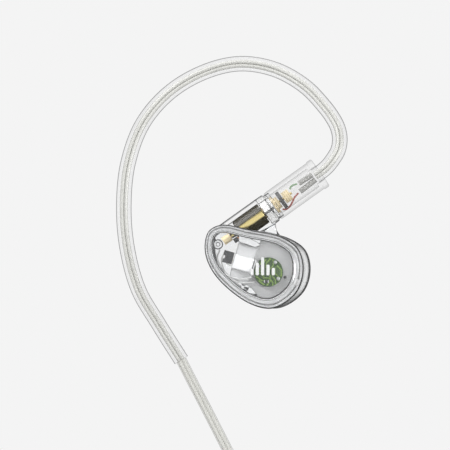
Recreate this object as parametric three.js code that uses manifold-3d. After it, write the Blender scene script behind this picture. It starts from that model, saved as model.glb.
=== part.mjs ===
// A right-hand over-ear in-ear monitor with its ear hook, detachable connector, lead and plug.
// Millimetres. X runs to the front of the head, Y into the head and Z up, as the monitor is worn.
// Pieces are laid out about the middle of the face cover's outer face. The last group moves the
// object so that its origin lies under the crown of the ear hook, where the ear carries it.

import * as THREE from 'three';
import { mergeVertices } from 'three/addons/utils/BufferGeometryUtils.js';
import Module from 'manifold-3d';

const wasm = await Module();
wasm.setup();

// ---- driving dimensions -------------------------------------------------------------------

const GAP = 0.3; // between pieces that touch
const SIDES = 20; // round pieces
const CORD_SIDES = 8;

// Face and shell. Outlines are (x, z), and the small end of the egg is up and back.
const FACE_OUTLINE = [
  [9.2, -0.8], [8.3, 3.2], [5.2, 5.5], [-0.5, 6.8], [-6.1, 7.8], [-8.4, 6.7],
  [-9.2, 4.0], [-8.6, 0.8], [-6.2, -2.8], [-0.7, -6.9], [3.6, -7.7], [7.8, -4.9],
];
const OUTLINE_STEPS = 48;
const RIM = { mean: 1.5, right: 0.3, up: -0.2 }; // rim width and how it changes to the right and up
const COVER = { plate: 1.0, skirt: 2.0 };
const SHELL_FRONT = COVER.skirt + GAP;
// Sections of the inner shell: depth, then scale and shift of the face outline in x and z.
const SHELL_SECTIONS = [
  { y: SHELL_FRONT, sx: 1.0, sz: 1.0, dx: 0, dz: 0 },
  { y: 3.5, sx: 1.03, sz: 1.0, dx: 0.6, dz: -0.05 },
  { y: 5.2, sx: 1.05, sz: 1.0, dx: 1.0, dz: -0.1 },
  { y: 7.2, sx: 1.01, sz: 0.97, dx: 0.95, dz: 0 },
  { y: 9.2, sx: 0.88, sz: 0.86, dx: 1.1, dz: -0.1 },
  { y: 11.0, sx: 0.66, sz: 0.66, dx: 1.6, dz: -0.5 },
  { y: 12.3, sx: 0.42, sz: 0.42, dx: 2.2, dz: -0.7 },
];
const CAVITY_SCALE = 0.89;
const CAVITY_BACK = 0.9; // wall left at the back of the cavity

// Connector. Its axis climbs forwards in a plane parallel to the face, and the tower ends at JOINT.
const CONNECTOR_ANGLE = THREE.MathUtils.degToRad(35.5);
const CONNECTOR_DEPTH = 5.4;
const AXIS = new THREE.Vector3(Math.cos(CONNECTOR_ANGLE), 0, Math.sin(CONNECTOR_ANGLE));
const JOINT = new THREE.Vector3(3.19, CONNECTOR_DEPTH, 11.09);
const TOWER = { radius: 2.95, length: 10, bore: 2.1, mouth: 2.65, mouthDepth: 1.7 };
const SOCKET = { radius: 1.9, bore: 1.5, front: -1.8, back: -7.6, tail: 0.8, cup: 0.45, end: -11 };
const BARREL = { radius: 1.2, bore: 0.7, front: -3.6, back: 1.9 };
const PIN = { radius: 0.25, front: -4.4, back: 4.8 };
const BOOT = { radius: 2.95, lip: 3.1, length: 11.4, chamber: 2.1 };

// Nozzle and ear tip. The canal runs inwards and a little forwards.
const NOZZLE_FOOT = new THREE.Vector3(2.0, 10.2, -0.8);
const NOZZLE_AXIS = new THREE.Vector3(0.38, 0.925, 0).normalize();
const NOZZLE = { radius: 2.35, lip: 2.7, length: 8.4, bore: 1.6 };
const TIP_START = 3.8; // where the tip's skirt begins along the nozzle

// Dynamic driver, fired at the nozzle, and the balanced armature in the window.
const DRIVER = { x: 1.8, z: -1.2, radius: 4.6, yoke: 3.1 };
const ARMATURE = { x: -2.06, z: 0.64, width: 3.8, height: 2.8, near: 1.6, far: 3.1, tilt: 15.5 };
const CARRIER = { near: 3.3, far: 3.9 };
const BOARD = { x: 2.7, z: -0.99, radius: 2.74, near: 2.3, far: 2.9 };

// Ear hook: a formed tube from the boot over and behind the ear, points (x, y, z) on its middle.
const HOOK = { radius: 1.45, bore: 1.12, steps: 44 };
const HOOK_LEAD_RADIUS = 0.78;
const HOOK_ROUTE = [
  [11.5, 5.4, 17.03], [12.5, 5.4, 17.74], [13.7, 5.4, 18.75], [14.85, 5.5, 20.2],
  [15.83, 5.8, 21.9], [16.17, 6.3, 23.96], [15.83, 7.0, 26.0], [14.92, 7.8, 27.9],
  [13.2, 8.8, 30.3], [9.57, 10.6, 34.1], [3.94, 12.6, 37.3], [-2.6, 13.8, 38.4],
  [-9.2, 14.2, 36.9], [-15.9, 14.1, 33.0], [-21.0, 13.7, 27.1], [-23.8, 13.2, 19.6],
  [-24.6, 12.6, 11.6], [-24.0, 12.0, 3.7], [-21.8, 11.4, -4.4], [-18.0, 10.9, -10.9],
  [-13.7, 10.5, -17.7],
];

// Free lead: down out of the hook, then a tied coil, then the plug hanging under it.
const CORD = 2;
const LEAD_ROUTE = [
  [-13.7, 10.5, -17.7], [-11.7, 10.2, -21.6], [-9.5, 9.6, -25.8], [-7.3, 8.9, -30.05],
  [-5.07, 8.2, -34.4], [-2.4, 7.5, -39.5],
];
const LAYERS = [4, 4, 4, 4]; // turns side by side in each layer, from the outside in
const COIL = { x: -11.1, y: 10, z: -53.3, middle: 5.5 * CORD };
const COIL_OUTER = COIL.middle + LAYERS.length * CORD / 2;
const COIL_INNER = COIL.middle - LAYERS.length * CORD / 2;
const COIL_HALF = LAYERS[0] * CORD / 2;
const TIE = { width: 3, wall: 0.8 };
const TAIL_X = COIL.x + COIL.middle - 1.5 * CORD;
const TAIL_Y = COIL.y - COIL_HALF - 0.55 * CORD - GAP;
const TAIL_ROUTE = [
  [TAIL_X, TAIL_Y, COIL.z - 3], [TAIL_X, TAIL_Y - 0.1, COIL.z - 8], [TAIL_X, TAIL_Y, COIL.z - 14],
  [TAIL_X, TAIL_Y + 0.4, COIL.z - 20],
];
const JACK_TOP = new THREE.Vector3(TAIL_X, TAIL_Y + 0.4, COIL.z - 20 - GAP);
const CROWN = new THREE.Vector3(-2.6, 13.8, 38.4 - HOOK.radius);

// ---- finishes ------------------------------------------------------------------------------

function finish(color, roughness, metalness = 0) {
  return () => new THREE.MeshStandardMaterial({ color, roughness, metalness });
}

const clear = finish(0xe9edef, 0.06);
const silicone = finish(0xdfe2e4, 0.45);
const gold = finish(0xc9a24f, 0.25, 1);
const steel = finish(0xc6c8ca, 0.3, 1);
const silver = finish(0xb9bcbe, 0.35, 1);
const whitePlastic = finish(0xf1f2f1, 0.5);
const greyPlastic = finish(0xb2b3b3, 0.65);
const darkPlastic = finish(0x474849, 0.6);
const greenBoard = finish(0x4f7f35, 0.55);
const greenJacket = finish(0x3f8a4a, 0.45);
const redJacket = finish(0xb5322a, 0.45);
const copper = finish(0xb4713d, 0.35, 1);
const film = finish(0xd9c48a, 0.35);
const magnetSteel = finish(0x8b8e92, 0.4, 1);

// ---- geometry helpers -----------------------------------------------------------------------

function toSolid(geometry) {
  const bare = geometry.clone();
  bare.deleteAttribute('normal');
  bare.deleteAttribute('uv');
  const merged = mergeVertices(bare, 1e-4);
  const corners = merged.index.array;
  const triVerts = [];
  for (let i = 0; i < corners.length; i += 3) {
    const [a, b, c] = [corners[i], corners[i + 1], corners[i + 2]];
    if (a !== b && b !== c && c !== a) triVerts.push(a, b, c);
  }
  const mesh = new wasm.Mesh({
    numProp: 3,
    vertProperties: new Float32Array(merged.attributes.position.array),
    triVerts: new Uint32Array(triVerts),
  });
  return new wasm.Manifold(mesh);
}

function fromSolid(solid) {
  const mesh = solid.getMesh();
  const geometry = new THREE.BufferGeometry();
  geometry.setAttribute('position', new THREE.BufferAttribute(mesh.vertProperties, 3));
  geometry.setIndex(new THREE.BufferAttribute(mesh.triVerts, 1));
  geometry.computeVertexNormals();
  return geometry;
}

// Joins the added geometries to the first, then cuts the others out of it.
function carve(first, added, removed) {
  let solid = toSolid(first);
  for (const geometry of added) solid = solid.add(toSolid(geometry));
  for (const geometry of removed) solid = solid.subtract(toSolid(geometry));
  return fromSolid(solid);
}

// A flat piece: the (x, z) shape, from depth near to depth far.
function plate(shape, near, far) {
  const geometry = new THREE.ExtrudeGeometry(shape, { depth: far - near, bevelEnabled: false });
  geometry.rotateX(Math.PI / 2);
  geometry.translate(0, far, 0);
  return geometry;
}

function circle(x, z, radius, sides = SIDES) {
  const angles = Array.from({ length: sides }, (_, i) => (2 * Math.PI * i) / sides);
  return angles.map((a) => new THREE.Vector2(x + radius * Math.cos(a), z + radius * Math.sin(a)));
}

function shapeOf(points, holes = []) {
  const shape = new THREE.Shape(points);
  for (const hole of holes) shape.holes.push(new THREE.Path(hole));
  return shape;
}

function ringPlate(x, z, outer, inner, near, far) {
  return plate(shapeOf(circle(x, z, outer), [circle(x, z, inner)]), near, far);
}

function discPlate(x, z, radius, near, far) {
  return plate(shapeOf(circle(x, z, radius)), near, far);
}

// A turned piece about the local Z axis, from (radius, height) corners in anticlockwise order.
function turned(profile, sides = SIDES) {
  const geometry = new THREE.LatheGeometry(profile.map(([r, h]) => new THREE.Vector2(r, h)), sides);
  geometry.rotateX(Math.PI / 2);
  return geometry;
}

function rod(radius, from, to) {
  return turned([[0, from], [radius, from], [radius, to], [0, to]]);
}

function sleeve(inner, outer, from, to) {
  return turned([[inner, from], [outer, from], [outer, to], [inner, to], [inner, from]]);
}

function route(points) {
  return new THREE.CatmullRomCurve3(points.map((p) => new THREE.Vector3(...p)));
}

function along(path, steps, outer, inner = 0) {
  const shape = shapeOf(circle(0, 0, outer, CORD_SIDES), inner ? [circle(0, 0, inner, CORD_SIDES)] : []);
  return new THREE.ExtrudeGeometry(shape, { steps, extrudePath: path, bevelEnabled: false });
}

// Skins a stack of rings that have equal numbers of points, and closes both ends.
function loft(rings) {
  const count = rings[0].length;
  const positions = rings.flat().flatMap((p) => [p.x, p.y, p.z]);
  const index = [];
  for (let r = 0; r + 1 < rings.length; r += 1) {
    for (let i = 0; i < count; i += 1) {
      const a = r * count + i;
      const b = r * count + ((i + 1) % count);
      index.push(a, a + count, b, b, a + count, b + count);
    }
  }
  for (const r of [0, rings.length - 1]) {
    const hub = positions.length / 3;
    const middle = rings[r].reduce((sum, p) => sum.add(p), new THREE.Vector3()).divideScalar(count);
    positions.push(middle.x, middle.y, middle.z);
    for (let i = 0; i < count; i += 1) {
      const a = r * count + i;
      const b = r * count + ((i + 1) % count);
      if (r === 0) index.push(hub, a, b);
      else index.push(hub, b, a);
    }
  }
  const geometry = new THREE.BufferGeometry();
  geometry.setAttribute('position', new THREE.Float32BufferAttribute(positions, 3));
  geometry.setIndex(index);
  return geometry;
}

function piece(name, geometry, material) {
  const mesh = new THREE.Mesh(geometry, material());
  mesh.name = name;
  return mesh;
}

function groupAt(position, axis, meshes) {
  const group = new THREE.Group();
  group.position.copy(position);
  group.quaternion.setFromUnitVectors(new THREE.Vector3(0, 0, 1), axis);
  group.add(...meshes);
  return group;
}

// ---- outlines -------------------------------------------------------------------------------

const faceCurve = new THREE.CatmullRomCurve3(
  FACE_OUTLINE.map(([x, z]) => new THREE.Vector3(x, z, 0)), true);

// The face outline moved inwards by the rim's width plus extra.
function facePoints(scaleOfRim, extra = 0) {
  const points = [];
  for (let i = 0; i < OUTLINE_STEPS; i += 1) {
    const at = faceCurve.getPointAt(i / OUTLINE_STEPS);
    const tangent = faceCurve.getTangentAt(i / OUTLINE_STEPS);
    const outward = new THREE.Vector2(tangent.y, -tangent.x);
    const rim = RIM.mean + RIM.right * outward.x + RIM.up * outward.y;
    const inset = scaleOfRim * rim + extra;
    points.push(new THREE.Vector2(at.x - outward.x * inset, at.y - outward.y * inset));
  }
  return points;
}

function shellRing(section, scale, depth) {
  return facePoints(0).map((p) => new THREE.Vector3(
    p.x * section.sx * scale + section.dx, depth, p.y * section.sz * scale + section.dz));
}

// Turns a direction so that a local Z piece lies along it, for cuts made outside a group.
function turnedTo(geometry, position, axis) {
  const turn = new THREE.Quaternion().setFromUnitVectors(new THREE.Vector3(0, 0, 1), axis);
  geometry.applyQuaternion(turn);
  geometry.translate(position.x, position.y, position.z);
  return geometry;
}

// ---- earpiece: cover and shell --------------------------------------------------------------

function faceCover() {
  const window = facePoints(1);
  const skirt = plate(shapeOf(facePoints(0), [window]), COVER.plate / 2, COVER.skirt);
  return piece('face_cover', carve(plate(shapeOf(facePoints(0)), 0, COVER.plate), [skirt], []), clear);
}

// A generic level-meter mark: five upright bars on one base line, printed inside the cover.
function faceMark() {
  const heights = [1.2, 2.4, 3.4, 2.0, 1.4];
  const pitch = 1.0;
  const base = new THREE.BoxGeometry(pitch * heights.length, 0.12, 0.3);
  const bars = heights.map((height, i) => {
    const bar = new THREE.BoxGeometry(0.6, 0.12, height);
    bar.translate((i - 2) * pitch, 0, height / 2);
    return bar;
  });
  const mark = carve(base, bars, []);
  mark.translate(1.6, COVER.plate + 0.2, -1.6);
  return piece('face_mark', mark, whitePlastic);
}

function towerWeb() {
  const outline = new THREE.Shape();
  outline.moveTo(4.05, 8.1);
  outline.quadraticCurveTo(4.4, 6.5, 5.6, 5.1);
  outline.lineTo(2.5, 3.6);
  outline.lineTo(-1.5, 5.0);
  return plate(outline, SHELL_FRONT, 2 * CONNECTOR_DEPTH - SHELL_FRONT - 0.4);
}

function innerShell() {
  const outer = loft(SHELL_SECTIONS.map((section) => shellRing(section, 1, section.y)));
  const last = SHELL_SECTIONS.length - 1;
  const cavity = loft(SHELL_SECTIONS.map((section, i) => {
    const depth = i === 0 ? section.y - 1 : section.y - (i === last ? CAVITY_BACK : 0.15 * i);
    return shellRing(section, CAVITY_SCALE, depth);
  }));
  const tower = turnedTo(rod(TOWER.radius, -TOWER.length, 0), JOINT, AXIS);
  const bore = turnedTo(rod(TOWER.bore, -TOWER.length - 2, 1), JOINT, AXIS);
  const mouth = turnedTo(rod(TOWER.mouth, -TOWER.mouthDepth, 1), JOINT, AXIS);
  const nozzle = turnedTo(turned([
    [0, -2], [NOZZLE.radius, -2], [NOZZLE.radius, NOZZLE.length - 1.6],
    [NOZZLE.lip, NOZZLE.length - 1.3], [NOZZLE.lip, NOZZLE.length - 0.5],
    [2.4, NOZZLE.length], [0, NOZZLE.length],
  ]), NOZZLE_FOOT, NOZZLE_AXIS);
  const canal = turnedTo(rod(NOZZLE.bore, -2.2, NOZZLE.length + 1), NOZZLE_FOOT, NOZZLE_AXIS);
  return piece('inner_shell',
    carve(outer, [tower, towerWeb(), nozzle], [cavity, bore, mouth, canal]), clear);
}

// ---- earpiece: connector socket -------------------------------------------------------------

function socketCollar() {
  const hex = shapeOf(circle(0, 0, 2.45, 6), [circle(0, 0, 1.6)]);
  const geometry = new THREE.ExtrudeGeometry(hex, { depth: 1.3, bevelEnabled: false });
  geometry.translate(0, 0, -1.5);
  return piece('socket_collar', geometry, whitePlastic);
}

function socketPieces() {
  const { radius, bore, front, back, tail, cup, end } = SOCKET;
  const body = turned([
    [cup, end], [tail, end], [tail, back], [radius - 0.2, back], [radius, back + 0.3],
    [radius, front], [bore, front], [bore, back + 0.6], [cup, back + 0.6], [cup, end],
  ]);
  return [
    piece('socket_body', body, gold),
    socketCollar(),
    piece('socket_insulator', sleeve(0.5, 1.4, back + 0.8, -5.3), whitePlastic),
    piece('socket_contact', rod(0.35, end + 0.4, PIN.front - GAP), gold),
  ];
}

// ---- earpiece: drivers and crossover --------------------------------------------------------

function driverCarrier() {
  const cut = new THREE.Shape([
    new THREE.Vector2(0.2, -9), new THREE.Vector2(0.6, -5.3), new THREE.Vector2(-2.3, -3.2),
    new THREE.Vector2(-4.67, -1.88), new THREE.Vector2(-2.9, 4.6), new THREE.Vector2(0.2, 3.9),
    new THREE.Vector2(1.2, 4.6), new THREE.Vector2(1.2, 12), new THREE.Vector2(-12, 12),
    new THREE.Vector2(-12, -9),
  ]);
  const whole = plate(shapeOf(facePoints(1, 0.15)), CARRIER.near, CARRIER.far);
  const removed = plate(cut, CARRIER.near - 1, CARRIER.far + 1);
  return piece('driver_carrier', carve(whole, [], [removed]), greyPlastic);
}

function driverPieces() {
  const { x, z, radius, yoke } = DRIVER;
  const cup = carve(discPlate(x, z, yoke, 4.2, 5.9), [], [discPlate(x, z, 2.85, 4.55, 7)]);
  return [
    piece('driver_yoke', cup, steel),
    piece('driver_magnet', discPlate(x, z, 2.1, 4.65, 5.75), magnetSteel),
    piece('driver_basket', ringPlate(x, z, radius, yoke + 0.15, 5.0, 6.8), darkPlastic),
    piece('driver_ring', ringPlate(x, z, radius - 0.1, 4.3, 6.95, 7.8), steel),
  ];
}

function diaphragm() {
  const dome = turned([[0, 0], [4.15, 0], [4.15, 0.12], [3.4, 0.3], [2.6, 0.15], [0, 0.6]]);
  return piece('diaphragm', turnedTo(dome, new THREE.Vector3(DRIVER.x, 7.2, DRIVER.z),
    new THREE.Vector3(0, 1, 0)), film);
}

function voiceCoil() {
  return piece('voice_coil', ringPlate(DRIVER.x, DRIVER.z, 2.65, 2.4, 5.2, 6.9), copper);
}

function block(width, depth, height, x, y, z) {
  const geometry = new THREE.BoxGeometry(width, depth, height);
  geometry.translate(x, y, z);
  return geometry;
}

function armaturePieces() {
  const depth = ARMATURE.far - ARMATURE.near;
  const half = ARMATURE.width / 2;
  const group = new THREE.Group();
  group.position.set(ARMATURE.x, (ARMATURE.near + ARMATURE.far) / 2, ARMATURE.z);
  group.rotation.y = THREE.MathUtils.degToRad(ARMATURE.tilt);
  group.add(
    piece('armature_case', block(ARMATURE.width, depth, ARMATURE.height, 0, 0, 0), whitePlastic),
    piece('armature_adapter', block(2.0, depth, 2.3, -half - 1.1, 0, 0.34), darkPlastic),
    piece('armature_terminal', block(0.3, 0.5, 2.4, half + 0.25, 0.35 - depth / 2, 0), silver),
  );
  return group;
}

function crossoverPieces() {
  const { x, z, radius, near, far } = BOARD;
  const surface = near - 0.05;
  const pads = [[3.96, 0.83], [4.54, -2.23]];
  const chips = [[1.3, 0.1], [2.3, -2.75]];
  return [
    piece('crossover_board', discPlate(x, z, radius, near, far), greenBoard),
    ...pads.map(([px, pz], i) => piece(`solder_pad_${i + 1}`,
      discPlate(px, pz, 0.38, surface - 0.3, surface), silver)),
    ...chips.map(([px, pz], i) => piece(`chip_${i + 1}`,
      block(0.9, 0.4, 0.5, px, surface - 0.2, pz), darkPlastic)),
  ];
}

function supportPieces() {
  const bar = new THREE.Shape();
  bar.moveTo(-2.9, 6.0);
  bar.lineTo(-1.0, 5.6);
  bar.lineTo(0.5, 4.7);
  bar.lineTo(1.5, 4.0);
  bar.lineTo(0.2, 3.6);
  bar.lineTo(-2.9, 4.65);
  const bracket = shapeOf([
    new THREE.Vector2(-2.5, -3.35), new THREE.Vector2(-0.5, -3.85), new THREE.Vector2(0.5, -5.1),
    new THREE.Vector2(0.0, -5.25), new THREE.Vector2(-1.4, -4.9), new THREE.Vector2(-2.6, -4.2),
  ], [circle(-1.5, -4.05, 0.4, 12)]);
  return [
    piece('locating_post', ringPlate(-6.75, 4.2, 0.75, 0.4, SHELL_FRONT, 3.9), clear),
    piece('socket_clamp', plate(bar, 2.3, 3.0), whitePlastic),
    piece('carrier_bracket', plate(bracket, 2.3, 3.0), whitePlastic),
  ];
}

function innerTubes() {
  const sound = route([
    [-4.9, 3.4, 1.7], [-4.9, 5.0, 1.5], [-4.7, 7.2, 1.0], [-3.5, 8.8, 0.4], [-1.4, 9.6, -0.3],
    [-0.3, 9.9, -0.6],
  ]);
  const signal = route([
    [-6.4, 4.6, 3.2], [-6.9, 4.4, 1.8], [-6.6, 3.9, 0.0], [-5.6, 3.2, -1.4], [-4.2, 2.8, -2.0],
    [-2.2, 2.7, -2.3], [-0.4, 2.6, -1.9],
  ]);
  const ground = route([
    [-5.6, 6.9, 2.6], [-6.1, 6.2, 1.2], [-5.7, 4.8, -0.6], [-5.0, 3.2, -2.0], [-3.8, 2.8, -2.7],
    [-2.0, 2.7, -3.0], [0.1, 2.6, -2.9],
  ]);
  return [
    piece('sound_tube', along(sound, 16, 0.65, 0.35), clear),
    piece('inner_signal_wire', along(signal, 16, 0.15), silicone),
    piece('inner_ground_wire', along(ground, 16, 0.15), silicone),
  ];
}

function nozzlePieces() {
  return groupAt(NOZZLE_FOOT, NOZZLE_AXIS, [
    piece('nozzle_screen', rod(NOZZLE.bore - 0.15, NOZZLE.length - 0.8, NOZZLE.length - 0.4), steel),
    piece('damper', sleeve(0.5, NOZZLE.bore - 0.15, 2.6, 4.6), whitePlastic),
  ]);
}

function earTip() {
  const bore = NOZZLE.lip + 0.15;
  const umbrella = turned([
    [bore, 0.4], [3.4, 0.4], [3.4, 4.8], [4.2, 4.6], [4.95, 3.4], [5.15, 1.7], [5.0, 0.1],
    [5.4, 0], [5.65, 1.7], [5.5, 3.7], [4.6, 5.7], [3.4, 6.6], [2.3, 6.7], [1.9, 6.4],
    [1.9, 5.0], [bore, 4.9], [bore, 0.4],
  ], 24);
  umbrella.translate(0, 0, TIP_START);
  return piece('ear_tip', umbrella, silicone);
}

// ---- cable side of the connector ------------------------------------------------------------

function boot() {
  const { radius, lip, length, chamber } = BOOT;
  return turned([
    [1.35, GAP], [radius - 0.15, GAP], [radius, GAP + 0.3], [radius, length - 1.2],
    [lip, length - 1.0], [lip, length - 0.2], [lip - 0.2, length], [1.6, length],
    [1.6, length - 1.7], [chamber, length - 1.7], [chamber, 2.0], [1.35, 2.0], [1.35, GAP],
  ]);
}

function plugBarrel() {
  const { radius, bore, front, back } = BARREL;
  const groove = { front: -2.75, back: -1.85, radius: 0.95 };
  return turned([
    [bore, front], [radius - 0.1, front], [radius, front + 0.2], [radius, groove.front],
    [groove.radius, groove.front], [groove.radius, groove.back], [radius, groove.back],
    [radius, back], [bore, back], [bore, front],
  ]);
}

function plugPieces() {
  const core = (offset, from) => {
    const geometry = rod(0.5, from, 9.9);
    geometry.translate(0, offset, 0);
    return geometry;
  };
  const signal = route([[0, 0.75, 4.9], [0, 0.95, 5.4], [0, 0.85, 6.0], [0, 0.62, 6.7]]);
  const ground = route([[0, -1.45, 3.0], [0, -1.6, 3.5], [0, -1.5, 4.7], [0, -0.75, 5.9]]);
  return [
    piece('boot', boot(), clear),
    piece('plug_barrel', plugBarrel(), gold),
    piece('plug_insulator', sleeve(0.35, 0.62, -0.4, 1.8), whitePlastic),
    piece('plug_pin', rod(PIN.radius, PIN.front, PIN.back), gold),
    piece('plug_disc', sleeve(0.4, 1.75, 2.1, 2.8), darkPlastic),
    piece('plug_ferrule', sleeve(0.4, 1.15, 3.1, 4.4), gold),
    piece('signal_wire', along(signal, 6, 0.17), greenJacket),
    piece('return_wire', along(ground, 6, 0.17), redJacket),
    piece('core_end_1', core(0.62, 7.0), silver),
    piece('core_end_2', core(-0.62, 6.3), silver),
  ];
}

// A split ring in the barrel's groove. It holds the socket on and lets it turn.
function snapRing() {
  const opening = THREE.MathUtils.degToRad(25);
  const shape = new THREE.Shape();
  shape.absarc(0, 0, 1.4, opening, 2 * Math.PI - opening, false);
  shape.absarc(0, 0, 1.03, 2 * Math.PI - opening, opening, true);
  const geometry = new THREE.ExtrudeGeometry(shape, { depth: 0.4, curveSegments: 20, bevelEnabled: false });
  geometry.translate(0, 0, -2.5);
  return piece('snap_ring', geometry, copper);
}

// ---- ear hook, lead and plug ----------------------------------------------------------------

function hookPieces() {
  return [
    piece('ear_hook', along(route(HOOK_ROUTE), HOOK.steps, HOOK.radius, HOOK.bore), clear),
    piece('hook_lead', along(route(HOOK_ROUTE), HOOK.steps, HOOK_LEAD_RADIUS), silver),
  ];
}

function leadCoil() {
  const soften = CORD / 2;
  const ring = turned([
    [COIL_INNER, -COIL_HALF + soften], [COIL_INNER + soften, -COIL_HALF],
    [COIL_OUTER - soften, -COIL_HALF], [COIL_OUTER, -COIL_HALF + soften],
    [COIL_OUTER, COIL_HALF - soften], [COIL_OUTER - soften, COIL_HALF],
    [COIL_INNER + soften, COIL_HALF], [COIL_INNER, COIL_HALF - soften],
    [COIL_INNER, -COIL_HALF + soften],
  ], 40);
  const centre = new THREE.Vector3(COIL.x, COIL.y, COIL.z);
  return piece('lead_coil', turnedTo(ring, centre, new THREE.Vector3(0, 1, 0)), clear);
}

// A strap round the bundle at the top of the coil, seen along X as a rounded frame.
function cableTie() {
  const frame = (margin) => {
    const [y, z] = [COIL_HALF + margin, LAYERS.length * CORD / 2 + margin];
    const corner = 1.2;
    const shape = new THREE.Shape();
    shape.moveTo(-y + corner, -z);
    shape.lineTo(y - corner, -z);
    shape.quadraticCurveTo(y, -z, y, -z + corner);
    shape.lineTo(y, z - corner);
    shape.quadraticCurveTo(y, z, y - corner, z);
    shape.lineTo(-y + corner, z);
    shape.quadraticCurveTo(-y, z, -y, z - corner);
    shape.lineTo(-y, -z + corner);
    shape.quadraticCurveTo(-y, -z, -y + corner, -z);
    return shape;
  };
  const shape = frame(GAP + TIE.wall);
  shape.holes.push(new THREE.Path(frame(GAP).getPoints(4)));
  const strap = new THREE.ExtrudeGeometry(shape, { depth: TIE.width, curveSegments: 4, bevelEnabled: false });
  strap.translate(0, 0, -TIE.width / 2);
  strap.applyMatrix4(new THREE.Matrix4().makeBasis(
    new THREE.Vector3(0, 1, 0), new THREE.Vector3(0, 0, 1), new THREE.Vector3(1, 0, 0)));
  strap.translate(COIL.x, COIL.y, COIL.z + COIL.middle);
  return piece('cable_tie', strap, silicone);
}

// A 3.5 mm three-pole plug, laid out downwards from the end of the lead.
function jackPieces() {
  const relief = [[0, 0], [1.15, 0], [1.6, 6.5], [1.6, 7.0], [0, 7.0]];
  const tip = [[0, 33.2], [1.75, 33.2], [1.75, 34.0], [1.25, 34.6], [1.7, 35.8], [0.5, 37.0], [0, 37.0]];
  return groupAt(JACK_TOP, new THREE.Vector3(0, 0, -1), [
    piece('jack_relief', turned(relief), silicone),
    piece('jack_handle', turned([
      [0, 7.2], [2.3, 7.2], [2.7, 7.8], [2.7, 21.0], [2.3, 22.0], [0, 22.0]]), silver),
    piece('jack_sleeve', rod(1.75, 22.1, 29.4), gold),
    piece('jack_insulator_1', rod(1.6, 29.45, 30.0), darkPlastic),
    piece('jack_ring', rod(1.75, 30.05, 32.5), gold),
    piece('jack_insulator_2', rod(1.6, 32.55, 33.1), darkPlastic),
    piece('jack_tip', turned(tip), gold),
  ]);
}

function leadPieces() {
  return [
    piece('lead', along(route(LEAD_ROUTE.map(startBelowHook)), 10, CORD / 2), clear),
    leadCoil(),
    cableTie(),
    piece('lead_tail', along(route(TAIL_ROUTE), 6, CORD / 2), clear),
  ];
}

// The lead's first point is moved down its own line, to leave the usual gap to the hook.
function startBelowHook(point, i) {
  if (i > 0) return point;
  const start = new THREE.Vector3(...point);
  const towards = new THREE.Vector3(...LEAD_ROUTE[1]).sub(start).normalize();
  return start.addScaledVector(towards, GAP).toArray();
}

// ---- assembly -------------------------------------------------------------------------------

const group = new THREE.Group();
group.add(
  faceCover(),
  faceMark(),
  innerShell(),
  driverCarrier(),
  ...driverPieces(),
  diaphragm(),
  voiceCoil(),
  armaturePieces(),
  ...crossoverPieces(),
  ...supportPieces(),
  ...innerTubes(),
  nozzlePieces(),
  groupAt(NOZZLE_FOOT, NOZZLE_AXIS, [earTip()]),
  groupAt(JOINT, AXIS, [...socketPieces(), snapRing(), ...plugPieces()]),
  ...hookPieces(),
  ...leadPieces(),
  jackPieces(),
);
group.position.copy(CROWN).negate();
export default group;
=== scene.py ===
import math

import bmesh
import bpy
import numpy as np
from mathutils import Matrix, Vector


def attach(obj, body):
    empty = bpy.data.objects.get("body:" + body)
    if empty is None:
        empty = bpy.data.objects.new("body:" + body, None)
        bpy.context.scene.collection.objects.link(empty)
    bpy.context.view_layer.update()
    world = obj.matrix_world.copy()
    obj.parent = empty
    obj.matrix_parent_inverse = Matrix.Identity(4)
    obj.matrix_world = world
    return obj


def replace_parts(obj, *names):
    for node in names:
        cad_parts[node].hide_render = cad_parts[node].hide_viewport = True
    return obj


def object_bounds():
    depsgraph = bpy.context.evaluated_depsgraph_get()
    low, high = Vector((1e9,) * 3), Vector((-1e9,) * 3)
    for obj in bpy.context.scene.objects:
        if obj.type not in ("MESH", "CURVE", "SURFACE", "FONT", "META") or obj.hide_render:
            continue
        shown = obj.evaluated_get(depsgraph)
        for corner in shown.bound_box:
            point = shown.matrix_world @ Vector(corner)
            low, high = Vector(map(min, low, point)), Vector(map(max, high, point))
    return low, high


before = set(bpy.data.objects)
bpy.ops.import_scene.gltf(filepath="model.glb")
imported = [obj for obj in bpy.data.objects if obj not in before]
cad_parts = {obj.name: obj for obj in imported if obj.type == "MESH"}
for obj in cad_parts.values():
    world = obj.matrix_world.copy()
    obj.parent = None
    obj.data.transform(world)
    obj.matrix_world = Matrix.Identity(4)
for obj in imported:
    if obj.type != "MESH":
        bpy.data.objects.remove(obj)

cad_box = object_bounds()

# A clear right-hand in-ear monitor as it is worn. Pieces are laid out in millimetres about the
# middle of the face cover's outer face, as in the CAD source, and settle() moves them to the row
# frame, in metres, whose origin lies under the crown of the ear hook.

MM = 0.001
CROWN = Vector((-2.6, 13.8, 36.95))
TO_ROW = Matrix.Scale(MM, 4) @ Matrix.Translation(-CROWN)

# Face and shell, with outline points as (x, z)
FACE_OUTLINE = [
    (9.2, -0.8), (8.3, 3.2), (5.2, 5.5), (-0.5, 6.8), (-6.1, 7.8), (-8.4, 6.7),
    (-9.2, 4.0), (-8.6, 0.8), (-6.2, -2.8), (-0.7, -6.9), (3.6, -7.7), (7.8, -4.9),
]
FACE_POINTS = 160
RIM_MEAN, RIM_RIGHT, RIM_UP = 1.5, 0.3, -0.2
SHELL_SECTIONS = [  # depth, scale in x and z, shift in x and z
    (2.15, 1.0, 1.0, 0, 0), (3.5, 1.03, 1.0, 0.6, -0.05), (5.2, 1.05, 1.0, 1.0, -0.1),
    (7.2, 1.01, 0.97, 0.95, 0), (9.2, 0.88, 0.86, 1.1, -0.1), (11.0, 0.66, 0.66, 1.6, -0.5),
    (12.3, 0.42, 0.42, 2.2, -0.7),
]
CAVITY_SCALE = 0.89
SHELL_VOXEL = 0.12

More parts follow.
